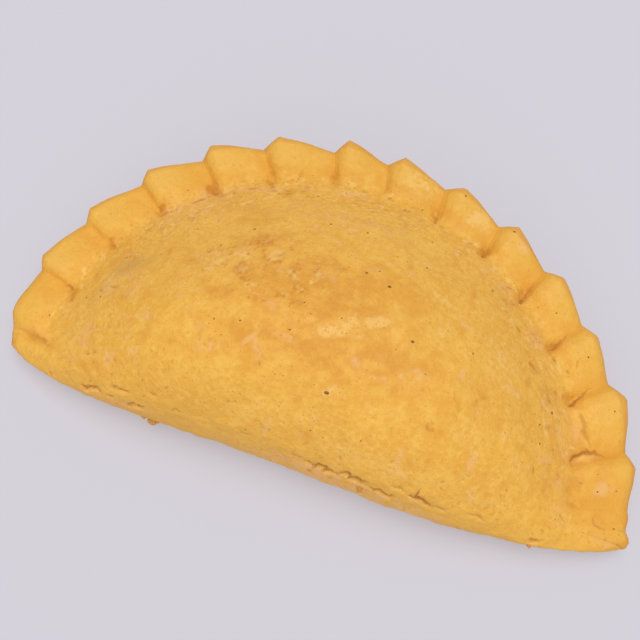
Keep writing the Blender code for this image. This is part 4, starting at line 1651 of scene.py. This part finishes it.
# %% The crust's colours
crust_colours, enter, leave = start_group(
    "crust_colours",
    {
        "Pale": (COLOUR, tone(240, 189, 90)),
        "Golden": (COLOUR, tone(235, 178, 71)),
        "Deep": (COLOUR, tone(224, 162, 60)),
        "Patches": (VALUE, 0.5),
        "Blotches": (VALUE, 0.5),
        "Flecks": (VALUE, 0.5),
    },
    {"Color": COLOUR},
)
patch_share = maths(crust_colours, "MULTIPLY", enter["Patches"], 0.6)
mixed = blend(crust_colours, patch_share, enter["Golden"], enter["Deep"])
STEPS = (  # pattern, from, to, strongest, colour
    ("Blotches", 0.5, 0.0, 0.42, "Pale"),
    ("Blotches", 0.55, 1.0, 0.42, "Deep"),
    ("Flecks", 0.55, 1.0, 0.65, "Pale"),
    ("Flecks", 0.45, 0.0, 0.65, "Deep"),
)
for pattern, start, end, strongest, paint in STEPS:
    share = remap(crust_colours, enter[pattern], start, end, 0.0, strongest)
    mixed = blend(crust_colours, share, mixed, enter[paint])
crust_colours.links.new(mixed, leave.inputs["Color"])
print(crust_colours.name, "has", len(crust_colours.nodes), "nodes")

# %% [markdown]
# Every material starts the same way: one Principled shader, and the piece's own coordinates to read the
# patterns at. Placing a group is like calling a function, with a value or another node for each input.

# %% Helpers for materials
def use_group(tree, group, feeds):
    node = lay_out(tree, tree.nodes.new("ShaderNodeGroup"))
    node.node_tree = group
    for label, feed in feeds.items():
        if isinstance(feed, bpy.types.NodeSocket):
            tree.links.new(feed, node.inputs[label])
        else:
            node.inputs[label].default_value = feed
    return {socket.name: socket for socket in node.outputs}


def start_material(material):
    """Clear a material down to one Principled shader, and give its tree, its shader and its places."""
    material.use_nodes = True
    tree = material.node_tree
    tree.nodes.clear()
    shader = tree.nodes.new("ShaderNodeBsdfPrincipled")
    leaves = tree.nodes.new("ShaderNodeOutputMaterial")
    tree.links.new(shader.outputs["BSDF"], leaves.inputs["Surface"])
    at = tree.nodes.new("ShaderNodeTexCoord").outputs["Object"]
    return tree, shader, at


def bump(tree, height, distance, strength):
    feeds = {"Height": height, "Distance": distance, "Strength": strength}
    return place(tree, "ShaderNodeBump", named=feeds)


print("shared groups:", uneven_bake.name, crust_colours.name)

# %% [markdown]
# ### The toasted crust
#
# The crust's colour is built up in layers, most as the oven browns it and some as painted shade and
# painted highlight. Plain golden dough comes first, then the patches kept on the mesh are laid over it one
# by one: painted shade on the fold's wall, deeper orange with painted shade in the pleats' valleys, a
# painted highlight on their corners, toasted dome, pinkish stretched dough, flour, browned edges, painted
# shade in the hollows, pits and sunk creases, and last the painted shade of the crease lines.
# Each patch is broken up by the grain, so none has a clean edge.

# %% Layer by layer
tree, shader, at = start_material(toasted_crust)


def painted(name):
    node = tree.nodes.new("ShaderNodeAttribute")
    node.attribute_type = "GEOMETRY"
    node.attribute_name = name
    return node.outputs["Fac"]


bake = use_group(tree, uneven_bake, {"Place": at, "Patches per metre": 95.0, "Flecks per metre": 900.0})
feeds = {"Patches": bake["Patches"], "Blotches": bake["Blotches"], "Flecks": bake["Flecks"]}
colour = use_group(tree, crust_colours, feeds)["Color"]
BREAKUP = {"Patches": 0.35, "Blotches": 0.65, "Flecks": 0.5}
breakup = total(tree, *(product(tree, bake[pattern], share) for pattern, share in BREAKUP.items()))
ragged = maths(tree, "SUBTRACT", breakup, sum(BREAKUP.values()) / 2)


def broken(name, low, high, raggedness, strength):
    """A painted patch with its edge broken up by the grain."""
    spread = maths(tree, "MULTIPLY_ADD", ragged, raggedness, 1.0)
    return product(tree, remap(tree, product(tree, painted(name), spread), low, high), strength)


LAYERS = (  # attribute, where it begins, where it is full, raggedness, strength, colour
    # Painted shade on the fold's wall.
    ("fold_wall", 0.1, 1.0, 1.0, 0.5, tone(214, 160, 78)),
    ("rim", 0.0, 0.7, 0.8, 0.6, tone(230, 173, 66)),
    # Deeper orange with painted shade in the pleats' valleys and hollows.
    ("valley", 0.05, 1.0, 1.2, 0.6, tone(227, 159, 54)),
    # Painted highlight on the pleats' corners.
    ("ridge", 0.2, 1.0, 1.4, 0.55, tone(235, 183, 86)),
    ("toast", 0.1, 0.9, 1.1, 0.75, tone(221, 153, 55)),
    ("toast", 0.5, 1.3, 1.6, 0.45, tone(210, 142, 48)),
    ("pink", 0.15, 0.95, 2.4, 0.65, tone(236, 181, 112)),
    ("flour", 0.12, 0.95, 2.6, 0.75, tone(241, 193, 106)),
    ("scorch", 0.12, 1.0, 3.0, 0.72, tone(198, 126, 32)),
    ("browned", 0.2, 0.9, 0.6, 0.5, tone(222, 146, 56)),
    # The seams' pinched hollows, darker: partly browning, partly painted shade.
    ("hollow", 0.2, 0.95, 2.0, 0.5, tone(208, 138, 34)),
    # Painted shade in the pits.
    ("pit", 0.3, 0.9, 0.3, 0.5, tone(190, 130, 52)),
    # Painted shade in the sunk creases.
    ("sunk", 0.1, 0.9, 0.8, 0.55, tone(208, 144, 58)),
    ("smudge", 0.1, 0.9, 0.6, 0.5, tone(194, 142, 66)),
    ("tucked", 0.1, 0.9, 0.8, 0.8, tone(212, 150, 70)),
    ("tucked", 0.5, 1.8, 1.8, 0.5, tone(188, 124, 52)),
)
for name, low, high, raggedness, strength, paint in LAYERS:
    colour = blend(tree, broken(name, low, high, raggedness, strength), colour, paint)
print(len(LAYERS), "layers of colour")

# %% [markdown]
# The creases come last, as painted shade. The line itself is where the signed distance passes through
# nought, shaken a little by the grain. Beside it, on one side only, the lifted lip of the crack catches the
# light and is paler. The same line goes into the bump as a groove, together with the grain of the dough.

# %% The painted shade of the creases, and the skin's gloss
strength = painted("crack_dark")
lip_side = remap(tree, painted("crack_beside"), 0.9, 1.9)
lip = product(tree, lip_side, remap(tree, painted("crack_away"), 5.5, 2.5), strength, 0.4)
colour = blend(tree, lip, colour, tone(241, 187, 108))
shaken = total(tree, painted("crack_beside"), product(tree, ragged, 0.8))
on_line = remap(tree, maths(tree, "ABSOLUTE", shaken), 1.3, 0.1)
near_line = remap(tree, painted("crack_away"), 3.2, 1.6)
crack = product(tree, on_line, near_line, strength)
# Painted shade along the crease lines.
colour = blend(tree, product(tree, crack, 0.9), colour, tone(164, 104, 38))
tree.links.new(colour, shader.inputs["Base Color"])
rough = remap(tree, bake["Patches"], 0.0, 1.0, 0.58, 0.72)
tree.links.new(rough, shader.inputs["Roughness"])
shader.inputs["Specular IOR Level"].default_value = 0.35
skin = maths(tree, "SUBTRACT", bake["Grain"], product(tree, crack, 0.9))
tree.links.new(bump(tree, skin, 0.25 * MM, 0.55), shader.inputs["Normal"])

# %% [markdown]
# ### Meal, bran and crumbs
#
# The meal is the same dough, only drier and paler, so it takes the same two groups with its own values.
# Bran is a dark, dull husk. The crumbs are browner than the crust, since they bake right through.

# %% Finishes of the small things
tree, shader, at = start_material(meal_finish)
bake = use_group(tree, uneven_bake, {"Place": at, "Patches per metre": 900.0, "Flecks per metre": 4000.0})
feeds = {
    "Patches": bake["Patches"],
    "Flecks": bake["Flecks"],
    "Golden": tone(234, 178, 84),
    "Deep": tone(214, 152, 60),
}
tree.links.new(use_group(tree, crust_colours, feeds)["Color"], shader.inputs["Base Color"])
shader.inputs["Roughness"].default_value = 0.7
shader.inputs["Specular IOR Level"].default_value = 0.3

tree, shader, at = start_material(fleck_finish)
husk = shade_noise(tree, at, 900.0, 3.0, 0.6)
tree.links.new(blend(tree, husk, tone(116, 76, 30), tone(166, 112, 46)), shader.inputs["Base Color"])
tree.links.new(remap(tree, husk, 0.0, 1.0, 0.6, 0.8), shader.inputs["Roughness"])
tree.links.new(bump(tree, husk, 0.05 * MM, 0.5), shader.inputs["Normal"])

tree, shader, at = start_material(crumb_finish)
bake = use_group(tree, uneven_bake, {"Place": at, "Patches per metre": 700.0, "Flecks per metre": 3000.0})
feeds = {
    "Patches": bake["Patches"],
    "Flecks": bake["Flecks"],
    "Pale": tone(226, 170, 96),
    "Golden": tone(222, 164, 84),
    "Deep": tone(190, 126, 56),
}
tree.links.new(use_group(tree, crust_colours, feeds)["Color"], shader.inputs["Base Color"])
tree.links.new(bump(tree, bake["Grain"], 0.1 * MM, 0.6), shader.inputs["Normal"])
shader.inputs["Roughness"].default_value = 0.75
print("finishes:", [m.name for m in (toasted_crust, meal_finish, fleck_finish, crumb_finish)])

# %% [markdown]
# ## Floor, light and camera
#
# The light is what a light tent gives: very soft and nearly from above, a little stronger from behind,
# so the shadows are broad and faint. A large panel above, a weak one in front and a bright world are
# enough for that. The floor is white paper, lit a little from within as on a light table, so that it
# stays pale and still takes the faint shadow.

# %% The floor
FLOOR_HALF = 2.0
FLOOR_AT = -0.2 * MM  # just below the base, so that the two don't lie in one plane
corners = [(FLOOR_HALF * x, FLOOR_HALF * y, FLOOR_AT) for x, y in ((-1, -1), (1, -1), (1, 1), (-1, 1))]
floor_mesh = bpy.data.meshes.new("floor")
floor_mesh.from_pydata(corners, [], [(0, 1, 2, 3)])
floor = bpy.data.objects.new("floor", floor_mesh)
bpy.context.scene.collection.objects.link(floor)
pale_paper = bpy.data.materials.new("pale_paper")
tree, shader, at = start_material(pale_paper)
shader.inputs["Base Color"].default_value = tone(156, 154, 160)
shader.inputs["Emission Color"].default_value = tone(212, 209, 219)
shader.inputs["Emission Strength"].default_value = 0.45
shader.inputs["Roughness"].default_value = 0.8
shader.inputs["Specular IOR Level"].default_value = 0.2
floor_mesh.materials.append(pale_paper)
print("floor:", 2 * FLOOR_HALF, "m wide")

# %% The lights
world = bpy.data.worlds.new("light_tent")
world.use_nodes = True
background = world.node_tree.nodes["Background"]
background.inputs["Color"].default_value = (1.0, 1.0, 1.0, 1.0)
background.inputs["Strength"].default_value = 0.45
bpy.context.scene.world = world

PANELS = (  # name, place, width, depth, power
    ("overhead_panel", (0.04, 0.12, 1.0), 0.8, 0.8, 7.0),
    ("front_panel", (0.0, -1.1, 0.45), 1.4, 0.5, 3.2),
)
for name, stands_at, width, breadth, power in PANELS:
    panel_data = bpy.data.lights.new(name, "AREA")
    panel_data.shape = "RECTANGLE"
    panel_data.size = width
    panel_data.size_y = breadth
    panel_data.energy = power
    panel = bpy.data.objects.new(name, panel_data)
    panel.location = stands_at
    panel.rotation_euler = (-Vector(stands_at)).to_track_quat("-Z", "Y").to_euler()
    bpy.context.scene.collection.objects.link(panel)
print("lights:", world.name, "and", len(PANELS), "panels")

# %% [markdown]
# The camera looks down from in front, a little from the right, and is near enough for the fold to show
# its height. Its lens is a little longer than normal, as for a picture of food on a table.

# %% Camera
CAMERA_AT = Vector((11.6, -56.2, 193.0)) * MM
LOOKS_AT = Vector((-5.8, -3.6, 0.0)) * MM
camera_data = bpy.data.cameras.new("camera")
camera_data.lens = 46.0
camera_data.sensor_width = 36.0
camera_data.clip_start = 0.01
camera = bpy.data.objects.new("camera", camera_data)
camera.location = CAMERA_AT
camera.rotation_euler = (LOOKS_AT - CAMERA_AT).to_track_quat("-Z", "Y").to_euler()
bpy.context.scene.collection.objects.link(camera)
bpy.context.scene.camera = camera
bpy.context.scene.view_settings.view_transform = "Standard"
bpy.context.scene.view_settings.look = "None"
print("camera", round((LOOKS_AT - CAMERA_AT).length / MM), "mm away")

# %% [markdown]
# ## The pieces and their body
#
# Each piece is told which body it rides on. The crust stands for the CAD model's solid, which stays in
# the simulation for collision and is hidden here.

# %% Pieces and bodies
for piece in (crust, meal, bran, crumbs):
    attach(piece, "root")
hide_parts("pastry")
bpy.context.view_layer.update()
